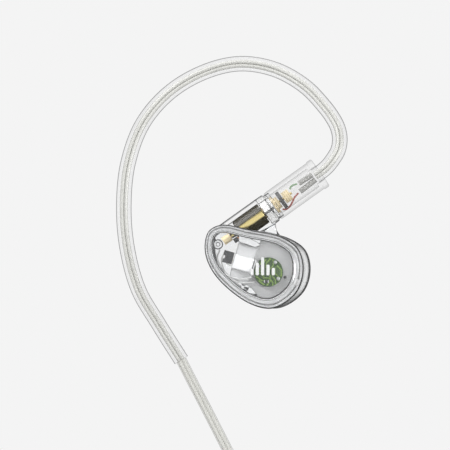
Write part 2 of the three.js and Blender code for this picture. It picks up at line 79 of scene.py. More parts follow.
# Connector, along AXIS from the tower's end at JOINT
CONNECTOR_ANGLE = math.radians(35.5)
AXIS = Vector((math.cos(CONNECTOR_ANGLE), 0, math.sin(CONNECTOR_ANGLE)))
CONNECTOR_SIDE = Vector((math.sin(CONNECTOR_ANGLE), 0, -math.cos(CONNECTOR_ANGLE)))  # right and down
DEPTH, DOWN = Vector((0, 1, 0)), Vector((0, 0, -1))
JOINT = Vector((3.19, 5.4, 11.09))
HEX_RADIUS, HEX_CORNER = 2.3, math.radians(12.4)
TOWER_RADIUS, TOWER_BORE, TOWER_DEPTH = 2.95, 2.1, 9
DRIVER = Vector((1.8, 0, -1.2))
ARMATURE, ARMATURE_TILT = Vector((-2.06, 2.35, 0.64)), math.radians(15.5)
GUIDE_POST = Vector((-6.75, 0, 4.2))
NOZZLE_FOOT = Vector((2.0, 10.2, -0.8))
NOZZLE_AXIS = Vector((0.38, 0.925, 0)).normalized()
NOZZLE_LENGTH = 8.4
TIP_START = 3.8

# Board, and its traces as (x, z) from its middle
BOARD = (2.7, -0.99)
BOARD_TRACES = [
    [(-2.2, -0.9), (-1.3, -1.6), (-0.4, -1.6)], [(-1.7, -1.7), (-0.9, -2.3)],
    [(-0.9, -1.1), (0.0, -1.1), (0.8, -1.9), (0.8, -2.4)], [(-0.2, -2.4), (0.3, -1.8), (0.3, -0.7)],
    [(1.3, -2.1), (1.3, -1.4), (0.7, -0.8), (0.7, 0.1)],
    [(1.9, -1.6), (1.9, -0.9), (1.2, -0.2), (1.2, 0.7)],
    [(2.4, -0.7), (2.4, 0.4), (1.7, 1.1)], [(0.2, 0.5), (0.9, 1.2), (0.9, 2.1)],
    [(-0.4, 0.9), (-0.4, 1.7), (0.3, 2.4)], [(-1.0, 0.4), (-1.0, 1.5), (-0.6, 2.2)],
    [(-1.6, 0.1), (-1.6, 1.2), (-1.3, 1.9)], [(-2.2, 0.2), (-2.2, 0.9)],
    [(-2.4, -0.3), (-1.5, -0.3), (-0.9, -0.9)],
]

# Ear hook and lead
HOOK_RADIUS, HOOK_BORE = 1.45, 1.12
HOOK_ROUTE = [
    (11.5, 5.4, 17.03), (12.5, 5.4, 17.74), (13.7, 5.4, 18.75), (14.85, 5.5, 20.2),
    (15.83, 5.8, 21.9), (16.17, 6.3, 23.96), (15.83, 7.0, 26.0), (14.92, 7.8, 27.9),
    (13.2, 8.8, 30.3), (9.57, 10.6, 34.1), (3.94, 12.6, 37.3), (-2.6, 13.8, 38.4),
    (-9.2, 14.2, 36.9), (-15.9, 14.1, 33.0), (-21.0, 13.7, 27.1), (-23.8, 13.2, 19.6),
    (-24.6, 12.6, 11.6), (-24.0, 12.0, 3.7), (-21.8, 11.4, -4.4), (-18.0, 10.9, -10.9),
    (-13.7, 10.5, -17.7),
]
CORD = 2
LEAD_ROUTE = [
    (-13.7, 10.5, -17.7), (-11.7, 10.2, -21.6), (-9.5, 9.6, -25.8), (-7.3, 8.9, -30.05),
    (-5.07, 8.2, -34.4), (-2.4, 7.5, -39.5),
]
LAYERS = [4, 4, 4, 4]  # turns side by side in each layer, from the outside in
COIL = Vector((-11.1, 10, -53.3))
COIL_MIDDLE = 5.5 * CORD
LEAD_ANGLE = math.radians(27.3)  # where the lead meets the outer turn
JOG = math.radians(50)  # the part of a turn in which the lead steps over
TURN_POINTS = 36
TAIL_X = COIL.x + COIL_MIDDLE - 1.5 * CORD
TAIL_Y = COIL.y - LAYERS[0] * CORD / 2 - 0.55 * CORD - 0.3
TAIL_ROUTE = [
    (TAIL_X, TAIL_Y, COIL.z - 3), (TAIL_X, TAIL_Y - 0.1, COIL.z - 8),
    (TAIL_X, TAIL_Y, COIL.z - 14), (TAIL_X, TAIL_Y + 0.4, COIL.z - 20),
]
JACK_TOP = Vector((TAIL_X, TAIL_Y + 0.4, COIL.z - 20.3))
LEAD_CORE, HOOK_CORE, BARE_CORE = 0.45, 0.38, 0.54
LEAD_CORE_OFFSET = 0.38
STRANDS, STRAND_PITCH = 5, 0.5

# Camera and studio: a long lens square to the face, VIEW_WIDTH wide at VIEW_CENTRE
VIEW_CENTRE = Vector((-5.44, 3.0, 7.82))
VIEW_WIDTH = 84.4
CAMERA_DISTANCE = 1000
SENSOR = 36
BACKDROP = 0.905
STUDIO_BANDS = [  # height, from 0 straight down to 1 straight up, and brightness
    (0.0, 0.8), (0.16, 0.75), (0.2, 0.12), (0.29, 0.12), (0.33, BACKDROP), (0.67, BACKDROP),
    (0.71, 0.08), (0.83, 0.08), (0.87, 1.3), (1.0, 1.4),
]
LAMPS = [  # name, place in metres, size, power
    ("key", (-0.35, -0.5, 0.45), 0.35, 1.9), ("fill", (0.5, -0.5, -0.05), 0.4, 2.0),
    ("back", (0.1, 0.6, 0.4), 0.4, 1.2),
]
FLOOR_RADIUS, FLOOR_DROP = 1.2, 0.012


# ---- camera and stage

def linked(name, data):
    """A new object in the scene that holds the data."""
    made = bpy.data.objects.new(name, data)
    bpy.context.scene.collection.objects.link(made)
    return made


def make_camera():
    data = bpy.data.cameras.new("camera")
    data.sensor_width = SENSOR
    data.lens = SENSOR * CAMERA_DISTANCE / VIEW_WIDTH
    data.clip_start = 0.05
    data.clip_end = 20
    camera = linked("camera", data)
    camera.location = TO_ROW @ (VIEW_CENTRE - DEPTH * CAMERA_DISTANCE)
    camera.rotation_euler = (math.pi / 2, 0, 0)
    bpy.context.scene.camera = camera


def fill(tree, socket, value):
    """Links a socket to another, or sets its value."""
    if isinstance(value, bpy.types.NodeSocket):
        tree.links.new(value, socket)
    else:
        socket.default_value = value


def node(tree, kind, **values):
    """A new shader node. Keywords that name inputs fill them; the others set properties."""
    made = tree.nodes.new("ShaderNode" + kind)
    for key, value in values.items():
        label = key.replace("_", " ")
        match = next((s.name for s in made.inputs if s.name.lower() == label.lower()), None)
        if match is None:
            setattr(made, key, value)
        else:
            fill(tree, made.inputs[match], value)
    return made


def rgb(colour):
    """A colour from its three values, or a grey from one."""
    return tuple(colour) if isinstance(colour, (tuple, list)) else (colour,) * 3


def rgba(colour):
    return (*rgb(colour), 1)


def spread(tree, value, low, high, start=0.0, stop=1.0):
    """The value's run from start to stop spread from low to high."""
    scaled = node(tree, "MapRange", Value=value, From_Min=start, From_Max=stop, To_Min=low, To_Max=high)
    return scaled.outputs["Result"]


def tinted(tree, share, first, second, blend_type="MIX"):
    """A blend of two colours, each given as values or as a socket."""
    mix = node(tree, "Mix", data_type="RGBA", blend_type=blend_type)
    fill(tree, mix.inputs["Factor"], share)
    for socket, colour in zip([s for s in mix.inputs if s.type == "RGBA"], (first, second)):
        fill(tree, socket, colour if isinstance(colour, bpy.types.NodeSocket) else rgba(colour))
    return next(s for s in mix.outputs if s.type == "RGBA")


def shader_mix(tree, share, first, second):
    """One shader that turns into another as share goes from 0 to 1."""
    mix = node(tree, "MixShader", Fac=share)
    fill(tree, mix.inputs[1], first.outputs[0])
    fill(tree, mix.inputs[2], second.outputs[0])
    return mix


def surface(tree, shader, output="OutputMaterial"):
    fill(tree, node(tree, output).inputs["Surface"], shader.outputs[0])


def make_world():
    """An even pale studio with dark bands above and below, which give gloss and glass edges.

    Light bent by clear plastic sees the bands only faintly, and the camera sees a plain backdrop.
    """
    world = bpy.data.worlds.new("studio")
    world.use_nodes = True
    tree = world.node_tree
    tree.nodes.clear()
    direction = node(tree, "TexCoord").outputs["Generated"]
    height = node(tree, "SeparateXYZ", Vector=direction).outputs["Z"]
    ramp = node(tree, "ValToRGB", Fac=spread(tree, height, 0, 1, -1))
    elements = ramp.color_ramp.elements
    for element, (place, value) in zip(elements, (STUDIO_BANDS[0], STUDIO_BANDS[-1])):
        element.position, element.color = place, rgba(value)
    for place, value in STUDIO_BANDS[1:-1]:
        elements.new(place).color = rgba(value)
    rays = node(tree, "LightPath").outputs
    faint = spread(tree, rays["Is Transmission Ray"], 0, 0.85)
    studio = node(tree, "Background", Color=tinted(tree, faint, ramp.outputs["Color"], BACKDROP))
    backdrop = node(tree, "Background", Color=rgba(BACKDROP))
    surface(tree, shader_mix(tree, rays["Is Camera Ray"], studio, backdrop), "OutputWorld")
    bpy.context.scene.world = world


def make_lamp(name, place, size, power):
    data = bpy.data.lights.new(name, "AREA")
    data.shape = "DISK"
    data.size = size
    data.energy = power
    lamp = linked(name, data)
    lamp.location = place
    lamp.rotation_euler = (-Vector(place)).to_track_quat("-Z", "Y").to_euler()


def make_floor(height):
    """A pale disc, seen only from above, so that a view from below isn't blocked."""
    bm = bmesh.new()
    bmesh.ops.create_circle(bm, cap_ends=True, segments=96, radius=FLOOR_RADIUS)
    floor = new_object("floor", bm)
    floor.location.z = height
    floor.visible_glossy = False
    floor.visible_transmission = False
    material, tree, _ = start_material("floor")
    pale = node(tree, "BsdfDiffuse", Color=rgba(0.47))
    clear_side = node(tree, "BsdfTransparent")
    surface(tree, shader_mix(tree, node(tree, "NewGeometry").outputs["Backfacing"], pale, clear_side))
    floor.data.materials.append(material)


# ---- materials

MATERIALS = {}


def start_material(name):
    material = bpy.data.materials.new(name)
    material.use_nodes = True
    tree = material.node_tree
    tree.nodes.clear()
    MATERIALS[name] = material
    return material, tree, node(tree, "TexCoord").outputs["Object"]


def noise(tree, place, size, detail=3.0):
    """Noise whose features are about size millimetres across."""
    return node(tree, "TexNoise", Vector=place, Scale=1 / (size * MM), Detail=detail).outputs["Fac"]


def bumped(tree, value, strength, distance):
    return node(tree, "Bump", Height=value, Strength=strength, Distance=distance * MM).outputs["Normal"]


def edge_on(tree, blend=0.5):
    """How far a surface turns away from the view: 0 face on, 1 edge on."""
    return node(tree, "LayerWeight", Blend=blend).outputs["Facing"]


def opaque(name, colour, roughness, metallic=0.0, grain=0.12, vary=0.1, relief=0.01, **sockets):
    """A solid finish with fine grain, uneven roughness and a slow drift of tone."""
    _, tree, place = start_material(name)
    fine = noise(tree, place, grain)
    darker = [c * (1 - vary) for c in rgb(colour)]
    surface(tree, node(
        tree, "BsdfPrincipled", Metallic=metallic,
        Base_Color=tinted(tree, noise(tree, place, 3.0, 2.0), darker, colour),
        Roughness=spread(tree, fine, roughness * 0.75, min(1, roughness * 1.3)),
        Normal=bumped(tree, fine, 0.4, relief), **sockets))


def clear(name, colour, edge, roughness, ior=1.46, milk=0.0, blend=0.35, outline=0.0):
    """Clear plastic whose colour darkens to painted edge shade where it is seen edge on, with a painted
    near black outline, and which lets lamps light what it covers.
    """
    _, tree, place = start_material(name)
    # The share of painted edge shade, which grows as the surface turns edge on.
    painted_edge_share = node(tree, "Math", operation="POWER")
    fill(tree, painted_edge_share.inputs[0], edge_on(tree, blend))
    fill(tree, painted_edge_share.inputs[1], 2.2)
    waves = noise(tree, place, 2.5, 1.0)
    body = node(
        tree, "BsdfPrincipled", IOR=ior, Transmission_Weight=1 - milk,
        Base_Color=tinted(tree, painted_edge_share.outputs[0], colour, edge),
        Roughness=spread(tree, waves, roughness * 0.6, roughness * 1.4),
        Normal=bumped(tree, waves, 0.25, 0.02))
    # A near black diffuse mixed in where the surface is nearly edge on: a painted dark outline.
    dark = node(tree, "BsdfDiffuse", Color=rgba(0.03))
    lined = shader_mix(tree, spread(tree, edge_on(tree), 0, outline, 0.5, 0.78), body, dark)
    through = node(tree, "BsdfTransparent", Color=rgba(colour))
    surface(tree, shader_mix(tree, node(tree, "LightPath").outputs["Is Shadow Ray"], lined, through))


def edged_metal(name, colour, edge, roughness):
    """Polished plate whose gloss gives way to painted dark shade where it turns edge on."""
    _, tree, place = start_material(name)
    streaks = noise(tree, place, 1.2, 1.0)
    metal = node(
        tree, "BsdfPrincipled", Metallic=1.0, Base_Color=rgba(colour),
        Roughness=spread(tree, streaks, roughness * 0.7, roughness * 1.3),
        Normal=bumped(tree, streaks, 0.05, 0.002))
    # A dark diffuse mixed in as the plate turns edge on: painted dark shade on its sides.
    shade = node(tree, "BsdfDiffuse", Color=rgba(edge))
    surface(tree, shader_mix(tree, spread(tree, edge_on(tree), 0, 1, 0.015, 0.05), metal, shade))


def twisted(name, colour, groove, side):
    """Twisted strands: slanting grooves from the uv map, whose unit is the millimetre, drawn darker as
    painted shade, with painted side shade where the core turns edge on.
    """
    _, tree, place = start_material(name)
    strands = node(tree, "TexWave", Vector=node(tree, "TexCoord").outputs["UV"],
                   bands_direction="DIAGONAL", Scale=math.pi / 5 / STRAND_PITCH).outputs["Fac"]
    # The groove colour is painted shade between the strands, and the side colour painted shade where the
    # core turns edge on.
    lines = tinted(tree, strands, groove, colour)
    rim = tinted(tree, spread(tree, edge_on(tree), 0, 1, 0.3, 0.9), colour, side)
    surface(tree, node(
        tree, "BsdfPrincipled", Metallic=0.15, Base_Color=tinted(tree, 1.0, lines, rim, "MULTIPLY"),
        Roughness=spread(tree, noise(tree, place, 0.4), 0.4, 0.55),
        Normal=bumped(tree, strands, 0.2, 0.01)))


def soft_clear(name, colour, rim, milk=0.0, rim_start=0.35, gloss=0.05, roughness=0.15):
    """Soft clear plastic: see-through face on, with painted shade darkening its rim, with a little milk and
    gloss.
    """
    _, tree, place = start_material(name)
    cloud = noise(tree, place, 2.0, 2.0)
    # The colour turns to the rim colour as the surface turns edge on: painted edge shade.
    shade = tinted(tree, spread(tree, edge_on(tree), 0, 1, rim_start, 0.9), colour, rim)
    through = node(tree, "BsdfTransparent", Color=shade)
    body = node(tree, "BsdfDiffuse", Color=shade)
    shine = node(tree, "BsdfGlossy", Roughness=spread(tree, cloud, roughness, roughness * 2))
    milky = shader_mix(tree, spread(tree, cloud, milk * 0.8, milk * 1.2), through, body)
    surface(tree, shader_mix(tree, gloss, milky, shine))


def make_clear_materials():
    # The second colour of each finish is painted edge shade, which the surface turns towards where it is
    # seen edge on.
    clear("clear_shell", (0.97, 0.975, 0.98), (0.30, 0.31, 0.32), 0.02, outline=0.85)
    clear("ear_silicone", (0.92, 0.93, 0.94), (0.66, 0.67, 0.68), 0.35, 1.41, 0.3)
    clear("film", (0.80, 0.66, 0.36), (0.5, 0.38, 0.16), 0.12, 1.3, 0.5)
    soft_clear("clear_boot", 0.98, 0.76, 0.03, 0.35, 0.03, 0.3)
    soft_clear("clear_hook", 0.995, 0.36, 0, 0.45, 0.03)
    soft_clear("clear_bore", 0.995, 0.92, 0, 0.5, 0.01)
    soft_clear("clear_tower", 0.99, 0.03, 0, 0.5, 0.03)
    soft_clear("clear_moulding", 0.93, 0.12, 0.4)
    soft_clear("white_moulding", 0.90, 0.08, 0.85, 0.25)
    soft_clear("lead_jacket", (0.995, 0.995, 0.99), (0.62, 0.62, 0.60), 0, 0.45, 0.03)


def make_metals():
    opaque("gold", (0.72, 0.56, 0.23), 0.2, 1.0, 0.2, 0.12, 0.004)
    opaque("soft_gold", (0.92, 0.77, 0.48), 0.5, 0.3, 0.2, 0.06, 0.002)
    # socket_gold's second colour is painted dark shade on the barrel's sides.
    edged_metal("socket_gold", (0.93, 0.78, 0.34), (0.05, 0.044, 0.026), 0.25)
    # silver_core's second colour is painted shade in the strand grooves, and its third painted side shade.
    twisted("silver_core", (0.86, 0.86, 0.84), (0.74, 0.74, 0.72), (0.72, 0.72, 0.71))
    opaque("bare_core", (0.52, 0.52, 0.50), 0.4, 0.5, 0.2, 0.2, 0.004)
    opaque("steel", (0.66, 0.67, 0.69), 0.28, 1.0, 0.15)
    opaque("satin_metal", (0.70, 0.71, 0.73), 0.38, 1.0, 0.05, 0.06, 0.004)
    opaque("tinned", 0.72, 0.5, 0.15, 0.2, 0.06)
    opaque("solder", (0.70, 0.71, 0.72), 0.3, 1.0, 0.25, 0.2, 0.03)
    opaque("magnet", (0.42, 0.43, 0.45), 0.3, 1.0)
    opaque("copper", (0.72, 0.38, 0.20), 0.26, 1.0)


def make_plastics():
    opaque("strap_silicone", (0.78, 0.79, 0.80), 0.5, Subsurface_Weight=0.3, Subsurface_Scale=0.001)
    opaque("white_plastic", (0.80, 0.80, 0.79), 0.45, Coat_Weight=0.15)
    opaque("armature_white", 0.96, 0.32, 0.1, Coat_Weight=0.4)
    opaque("grey_plate", 0.53, 0.7, 0.0, 0.12, 0.16, 0.06)
    opaque("pale_plate", 0.68, 0.6, 0.0, 0.12, 0.12, 0.04)
    opaque("dark_plastic", (0.045, 0.046, 0.048), 0.5, 0.0, 0.1, 0.3)
    opaque("green_board", (0.04, 0.10, 0.018), 0.42, 0.0, 0.3, 0.4, 0.02)
    opaque("board_trace", (0.20, 0.33, 0.055), 0.35, 0.0, 0.2, 0.2)
    opaque("green_jacket", (0.16, 0.33, 0.14), 0.4, Coat_Weight=0.3)
    opaque("red_jacket", (0.42, 0.10, 0.08), 0.4, Coat_Weight=0.3)
    opaque("pale_jacket", (0.66, 0.66, 0.65), 0.3, Coat_Weight=0.3)
    # pale_seal is a pale bead; the other tones are painted shade for thin dark lines and outlines.
    seal_and_shade_tones = {"pale_seal": 0.74, "painted_shade_grey": 0.20, "painted_outline_grey": 0.12, "painted_shade_dark": 0.03}
    for name, tone in seal_and_shade_tones.items():
        opaque(name, tone, 0.5, 0.0, 0.2, 0.1)


# ---- mesh helpers

def new_object(name, bm):
    """A linked object from a bmesh, with outward normals and smooth shading."""
    bmesh.ops.recalc_face_normals(bm, faces=bm.faces)
    mesh = bpy.data.meshes.new(name)
    bm.to_mesh(mesh)
    bm.free()
    return link_mesh(name, mesh)


def link_mesh(name, mesh, sharp=38):
    """A linked object, smooth but for edges sharper than the angle in degrees."""
    mesh.shade_smooth()
    mesh.set_sharp_from_angle(angle=math.radians(sharp))
    return linked(name, mesh)


def from_arrays(name, points, faces):
    bm = bmesh.new()
    vertices = [bm.verts.new(p) for p in points]
    for face in faces:
        bm.faces.new([vertices[i] for i in face])
    return new_object(name, bm)


def baked(piece, sharp=38):
    """Applies the piece's modifiers, or turns a curve to a mesh."""
    graph = bpy.context.evaluated_depsgraph_get()
    mesh = bpy.data.meshes.new_from_object(piece.evaluated_get(graph))
    name = piece.name
    bpy.data.objects.remove(piece)
    bm = bmesh.new()
    bm.from_mesh(mesh)
    bmesh.ops.remove_doubles(bm, verts=bm.verts, dist=1e-4)
    bmesh.ops.recalc_face_normals(bm, faces=bm.faces)
    bm.to_mesh(mesh)
    bm.free()
    return link_mesh(name, mesh, sharp)


def between(a, b, start, stop, t):
    """Runs from a at t = start to b at t = stop."""
    return (stop - t) / (stop - start) * a + (t - start) / (stop - start) * b


def catmull(points, closed=False, per_segment=12):
    """A centripetal Catmull-Rom curve through points of any dimension."""
    p = np.array(points, float)
    if closed:
        p = np.vstack([p[-1], p, p[0], p[1]])
    else:
        p = np.vstack([2 * p[0] - p[1], p, 2 * p[-1] - p[-2]])
    found = []
    for p0, p1, p2, p3 in zip(p, p[1:], p[2:], p[3:]):
        t1 = np.linalg.norm(p1 - p0) ** 0.5
        t2 = t1 + np.linalg.norm(p2 - p1) ** 0.5
        t3 = t2 + np.linalg.norm(p3 - p2) ** 0.5
        t = np.linspace(t1, t2, per_segment, endpoint=False)[:, None]
        first = between(p0, p1, 0, t1, t)
        middle = between(p1, p2, t1, t2, t)
        last = between(p2, p3, t2, t3, t)
        rising = between(first, middle, 0, t2, t)
        falling = between(middle, last, t1, t3, t)
        found.append(between(rising, falling, t1, t2, t))
    curve = np.vstack(found)
    return curve if closed else np.vstack([curve, p[-2]])


def even_angles(count):
    """Angles at even spacing round a whole turn."""
    return np.linspace(0, 2 * math.pi, count, endpoint=False)


def unit(rows):
    return rows / np.linalg.norm(rows, axis=1)[:, None]


def distances(path):
    """The distance along a path at each of its points."""
    return np.r_[0, np.cumsum(np.linalg.norm(np.diff(path, axis=0), axis=1))]


def loop_normals(loop):
    """Outward directions at the points of a closed loop that runs anticlockwise."""
    tangent = unit(np.roll(loop, -1, axis=0) - np.roll(loop, 1, axis=0))
    return np.column_stack([tangent[:, 1], -tangent[:, 0]])


def resample(points, count, closed=False):
    """The same line with count points at even spacing."""
    line = np.vstack([points, points[:1]]) if closed else np.asarray(points)
    lengths = distances(line)
    wanted = np.linspace(0, lengths[-1], count, endpoint=not closed)
    return np.column_stack([np.interp(wanted, lengths, line[:, k]) for k in range(line.shape[1])])


def rounded(profile, radius, steps=5, closed=True):
    """A polyline with each corner turned into a small curve."""
    corners = [np.array(c, float) for c in profile]
    found = []
    for i, corner in enumerate(corners):
        at_end = i in (0, len(corners) - 1)
        if at_end and not closed:
            found.append(corner)
            continue
        before, after = corners[i - 1], corners[(i + 1) % len(corners)]
        back, ahead = before - corner, after - corner
        cut = min(radius, 0.45 * np.linalg.norm(back), 0.45 * np.linalg.norm(ahead))
        first = corner + back / np.linalg.norm(back) * cut
        last = corner + ahead / np.linalg.norm(ahead) * cut
        for t in np.linspace(0, 1, steps):
            found.append((1 - t) ** 2 * first + 2 * t * (1 - t) * corner + t ** 2 * last)
    return found


def lathe(name, profile, origin, axis, radius=0.08, segments=72):
    """Turns (radius, height) corners about an axis. A profile off the axis closes on itself."""
    hollow = min(profile[0][0], profile[-1][0]) > 1e-6
    outline = rounded(profile, radius, closed=hollow)
    bm = bmesh.new()
    rings = []
    for r, h in outline:
        if r < 1e-6:
            rings.append([bm.verts.new((0, 0, h))])
            continue
        angles = (2 * math.pi * k / segments for k in range(segments))
        rings.append([bm.verts.new((r * math.cos(a), r * math.sin(a), h)) for a in angles])
    pairs = list(zip(rings, rings[1:])) + ([(rings[-1], rings[0])] if hollow else [])
    for low, high in pairs:
        for k in range(segments):
            n = (k + 1) % segments
            quad = [ring[i % len(ring)] for ring, i in ((low, k), (low, n), (high, n), (high, k))]
            corners = list(dict.fromkeys(quad))
            if len(corners) > 2:
                bm.faces.new(corners)
    bm.transform(Matrix.Translation(origin) @ axis.to_track_quat("Z", "Y").to_matrix().to_4x4())
    return new_object(name, bm)


def rod(radius, low, high):
    return [(0, low), (radius, low), (radius, high), (0, high)]


def sleeve(inner, outer, low, high):
    return [(inner, low), (outer, low), (outer, high), (inner, high)]


def ring_faces(rings, count, around):
    """Quads between each ring and the next, and from the last back to the first if around."""
    faces = []
    for r in range(rings if around else rings - 1):
        a, b = r * count, (r + 1) % rings * count
        faces += [(a + i, a + (i + 1) % count, b + (i + 1) % count, b + i) for i in range(count)]
    return faces


def skin(name, rings):
    """Skins rings that come back round to the first."""
    points = [tuple(p) for ring in rings for p in ring]
    return from_arrays(name, points, ring_faces(len(rings), len(rings[0]), True))


def loft(name, rings):
    """Skins rings of equal length and closes both ends."""
    count = len(rings[0])
    points = [tuple(p) for ring in rings for p in ring]
    faces = ring_faces(len(rings), count, False)
    for r in (0, len(rings) - 1):
        hub = len(points)
        points.append(tuple(np.mean(rings[r], axis=0)))
        faces += [(hub, r * count + i, r * count + (i + 1) % count) for i in range(count)]
    return from_arrays(name, points, faces)


def sweep(name, path, section, closed_tube=False):
    """Runs a section along a path. section(distance) gives (side, depth) points about it.

    The side direction lies in the plane of the face, and a second ring set makes a tube's bore.
    """
    path = np.asarray(path, float)
    tangents = unit(np.gradient(path, axis=0))
    side = unit(np.cross(tangents, DEPTH))
    depth = np.cross(side, tangents)
    along = distances(path)
    rings = []
    for p, s, d, distance in zip(path, side, depth, along):
        ring = np.array(section(distance))
        rings.append(p + ring[:, :1] * s + ring[:, 1:] * d)
    if not closed_tube:
        return mapped(loft(name, rings), along, len(rings[0]))
    half = len(rings[0]) // 2
    outer = [ring[:half] for ring in rings]
    inner = [ring[half:] for ring in rings]
    return skin(name, outer + inner[::-1])


def mapped(piece, along, sides):
    """Gives a swept piece a uv map: the distance along it, and STRANDS strand pitches round it."""
    layer = piece.data.uv_layers.new(name="along")
    turn = STRANDS * STRAND_PITCH
    for face in piece.data.polygons:
        spots = [divmod(index, sides) for index in face.vertices]
        crosses = max(k for _, k in spots) - min(k for _, k in spots) > sides / 2
        for loop, (ring, k) in zip(face.loop_indices, spots):
            share = 1 if crosses and k == 0 else k / sides
            distance = along[min(ring, len(along) - 1)]
            layer.data[loop].uv = (distance, share * turn)
    return piece


def round_section(radius, sides=20, across=0.0):
    angles = even_angles(sides)
    ring = np.column_stack([across + radius * np.cos(angles), radius * np.sin(angles)])
    return lambda distance: ring


def flat_section(half_width, half_height):
    ring = round_section(1, 12)(0) * (half_width, half_height)
    return lambda distance: ring


def stranded_section(size, sides, pitch, lobe):
    """A core of twisted strands: a lobed outline that turns once in each pitch."""
    angles = even_angles(sides)

    def section(distance):
        lobes = np.abs(np.cos(STRANDS / 2 * (angles - 2 * math.pi * distance / pitch)))
        radius = size * (1 - lobe + lobe * lobes)
        return np.column_stack([radius * np.cos(angles), radius * np.sin(angles)])
    return section


def plate(name, outlines, near, far, bevel=0.08):
    """A flat piece between two depths from (x, z) outlines, the first outside and the rest holes."""
    curve = bpy.data.curves.new(name, "CURVE")
    curve.dimensions = "2D"
    curve.fill_mode = "BOTH"
    curve.extrude = (far - near) / 2 - bevel
    curve.bevel_depth = bevel
    curve.bevel_resolution = 3
    curve.offset = -bevel
    for outline in outlines:
        spline = curve.splines.new("POLY")
        spline.points.add(len(outline) - 1)
        for point, (x, z) in zip(spline.points, outline):
            point.co = (x, z, 0, 1)
        spline.use_cyclic_u = True
    made = baked(linked(name, curve))
    upright = Matrix.Rotation(math.pi / 2, 4, "X")
    made.data.transform(Matrix.Translation((0, (near + far) / 2, 0)) @ upright)
    return made


def block(name, size, place, tilt=0.0, bevel=0.1):
    """A box with rounded edges, turned about the depth axis."""
    bm = bmesh.new()
    bmesh.ops.create_cube(bm, size=1, matrix=Matrix.Diagonal((*size, 1)))
    bmesh.ops.bevel(bm, geom=bm.edges[:], offset=bevel, segments=3, affect="EDGES", profile=0.5)
    bm.transform(Matrix.Translation(place) @ Matrix.Rotation(tilt, 4, "Y"))
    return new_object(name, bm)


def circle(x, z, radius, sides=64):
    return [(x + radius * math.cos(a), z + radius * math.sin(a)) for a in even_angles(sides)]


def combine(target, others, operation):
    """Joins the others to the target, or cuts them from it."""
    for other in others:
        modifier = target.modifiers.new("cut", "BOOLEAN")
        modifier.operation = operation
        modifier.solver = "EXACT"
        modifier.object = other
    result = baked(target)
    for other in others:
        bpy.data.objects.remove(other)
    return result


def joined(name, parts):
    """One object from several meshes that stay separate solids."""
    bm = bmesh.new()
    for part in parts:
        bm.from_mesh(part.data)
        bpy.data.objects.remove(part)
    return new_object(name, bm)


def settle(piece, body, finish, *nodes, slot=None):
    """Moves a piece from the millimetre layout to the row frame, gives it the finish, puts it on its body
    and hides the CAD parts it stands for.

    The slot argument is not used.
    """
    piece.data.transform(TO_ROW)
    piece.data.materials.clear()
    piece.data.materials.append(MATERIALS[finish])
    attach(piece, body)
    slot or finish
    if nodes:
        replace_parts(piece, *nodes)
    return piece


# ---- outlines

FACE = resample(catmull(FACE_OUTLINE, closed=True, per_segment=24), FACE_POINTS, closed=True)


def face_ring(rim_share, extra=0.0):
    """The face outline moved inwards by a share of the rim's width plus extra, as (x, z)."""
    outward = loop_normals(FACE)
    rim = RIM_MEAN + RIM_RIGHT * outward[:, 0] + RIM_UP * outward[:, 1]
    return FACE - outward * (rim_share * rim + extra)[:, None]


def at_depth(ring, depth):
    return np.column_stack([ring[:, 0], np.full(len(ring), depth), ring[:, 1]])


# ---- cord and hook

def smoothstep(t):
    t = min(1, max(0, t))
    return t * t * (3 - 2 * t)


def coil_turns():
    """(radius, depth) of each turn, from the outer front one to the inner front one."""
    turns = []
    for layer, count in enumerate(LAYERS):
        radius = COIL_MIDDLE + (len(LAYERS) / 2 - 0.5 - layer) * CORD
        depths = [(k - (count - 1) / 2) * CORD for k in range(count)]
        turns += [(radius, d) for d in (depths if layer % 2 == 0 else depths[::-1])]
    return turns


def lead_path():
    """The whole lead: out of the hook, round the coil and down to the plug.

    The route's last point is where the plain coil starts, and here the first turn takes its place.
    """
    turns = coil_turns()
    top = math.pi / 2
    end = -2 * math.pi * (len(turns) - 1)
    count = int((LEAD_ANGLE - end) / (2 * math.pi) * TURN_POINTS)
    wound = []
    for angle in np.linspace(LEAD_ANGLE, end, count):
        passed = (top - 2 * math.pi - angle) / (2 * math.pi) + JOG / (4 * math.pi)
        turn = min(len(turns) - 2, max(0, math.floor(passed)))
        share = smoothstep((passed - turn) * 2 * math.pi / JOG) if passed > 0 else 0
        if passed < 0:
            radius, depth = turns[0]
        else:
            (r0, d0), (r1, d1) = turns[turn], turns[turn + 1]
            radius, depth = r0 + (r1 - r0) * share, d0 + (d1 - d0) * share
        left = (angle - end) / math.radians(75)
        depth += (TAIL_Y - COIL.y - depth) * smoothstep(1 - left)
        wound.append((COIL.x + radius * math.cos(angle), COIL.y + depth,
                      COIL.z + radius * math.sin(angle)))
    return np.vstack([catmull(LEAD_ROUTE[:-1] + wound[:1], per_segment=8)[:-1], wound,
                      catmull(wound[-1:] + TAIL_ROUTE, per_segment=8)[1:]])


def resampled_step(path, step):
    """The path with points about a step apart, and its length."""
    length = distances(path)[-1]
    return resample(path, int(length / step) + 1), length


def core_pair(name, path, radius, sides, offset, cad):
    """Two twisted cores side by side along a path."""
    return [settle(sweep(f"{name}_{number}", path, round_section(radius, sides, side * offset)),
                   "cable", "silver_core", cad) for number, side in ((1, -1), (2, 1))]


def make_lead():
    """The lead's clear jacket and its two cores, with the line they follow."""
    path, length = resampled_step(lead_path(), 0.5)
    jacket = sweep("lead_jacket", path, round_section(CORD / 2, 16))
    settle(jacket, "cable", "lead_jacket", "lead", "lead_coil", "lead_tail")
    cores = core_pair("lead_core", path, LEAD_CORE, 14, LEAD_CORE_OFFSET, "lead_coil")
    return jacket, cores, path, length


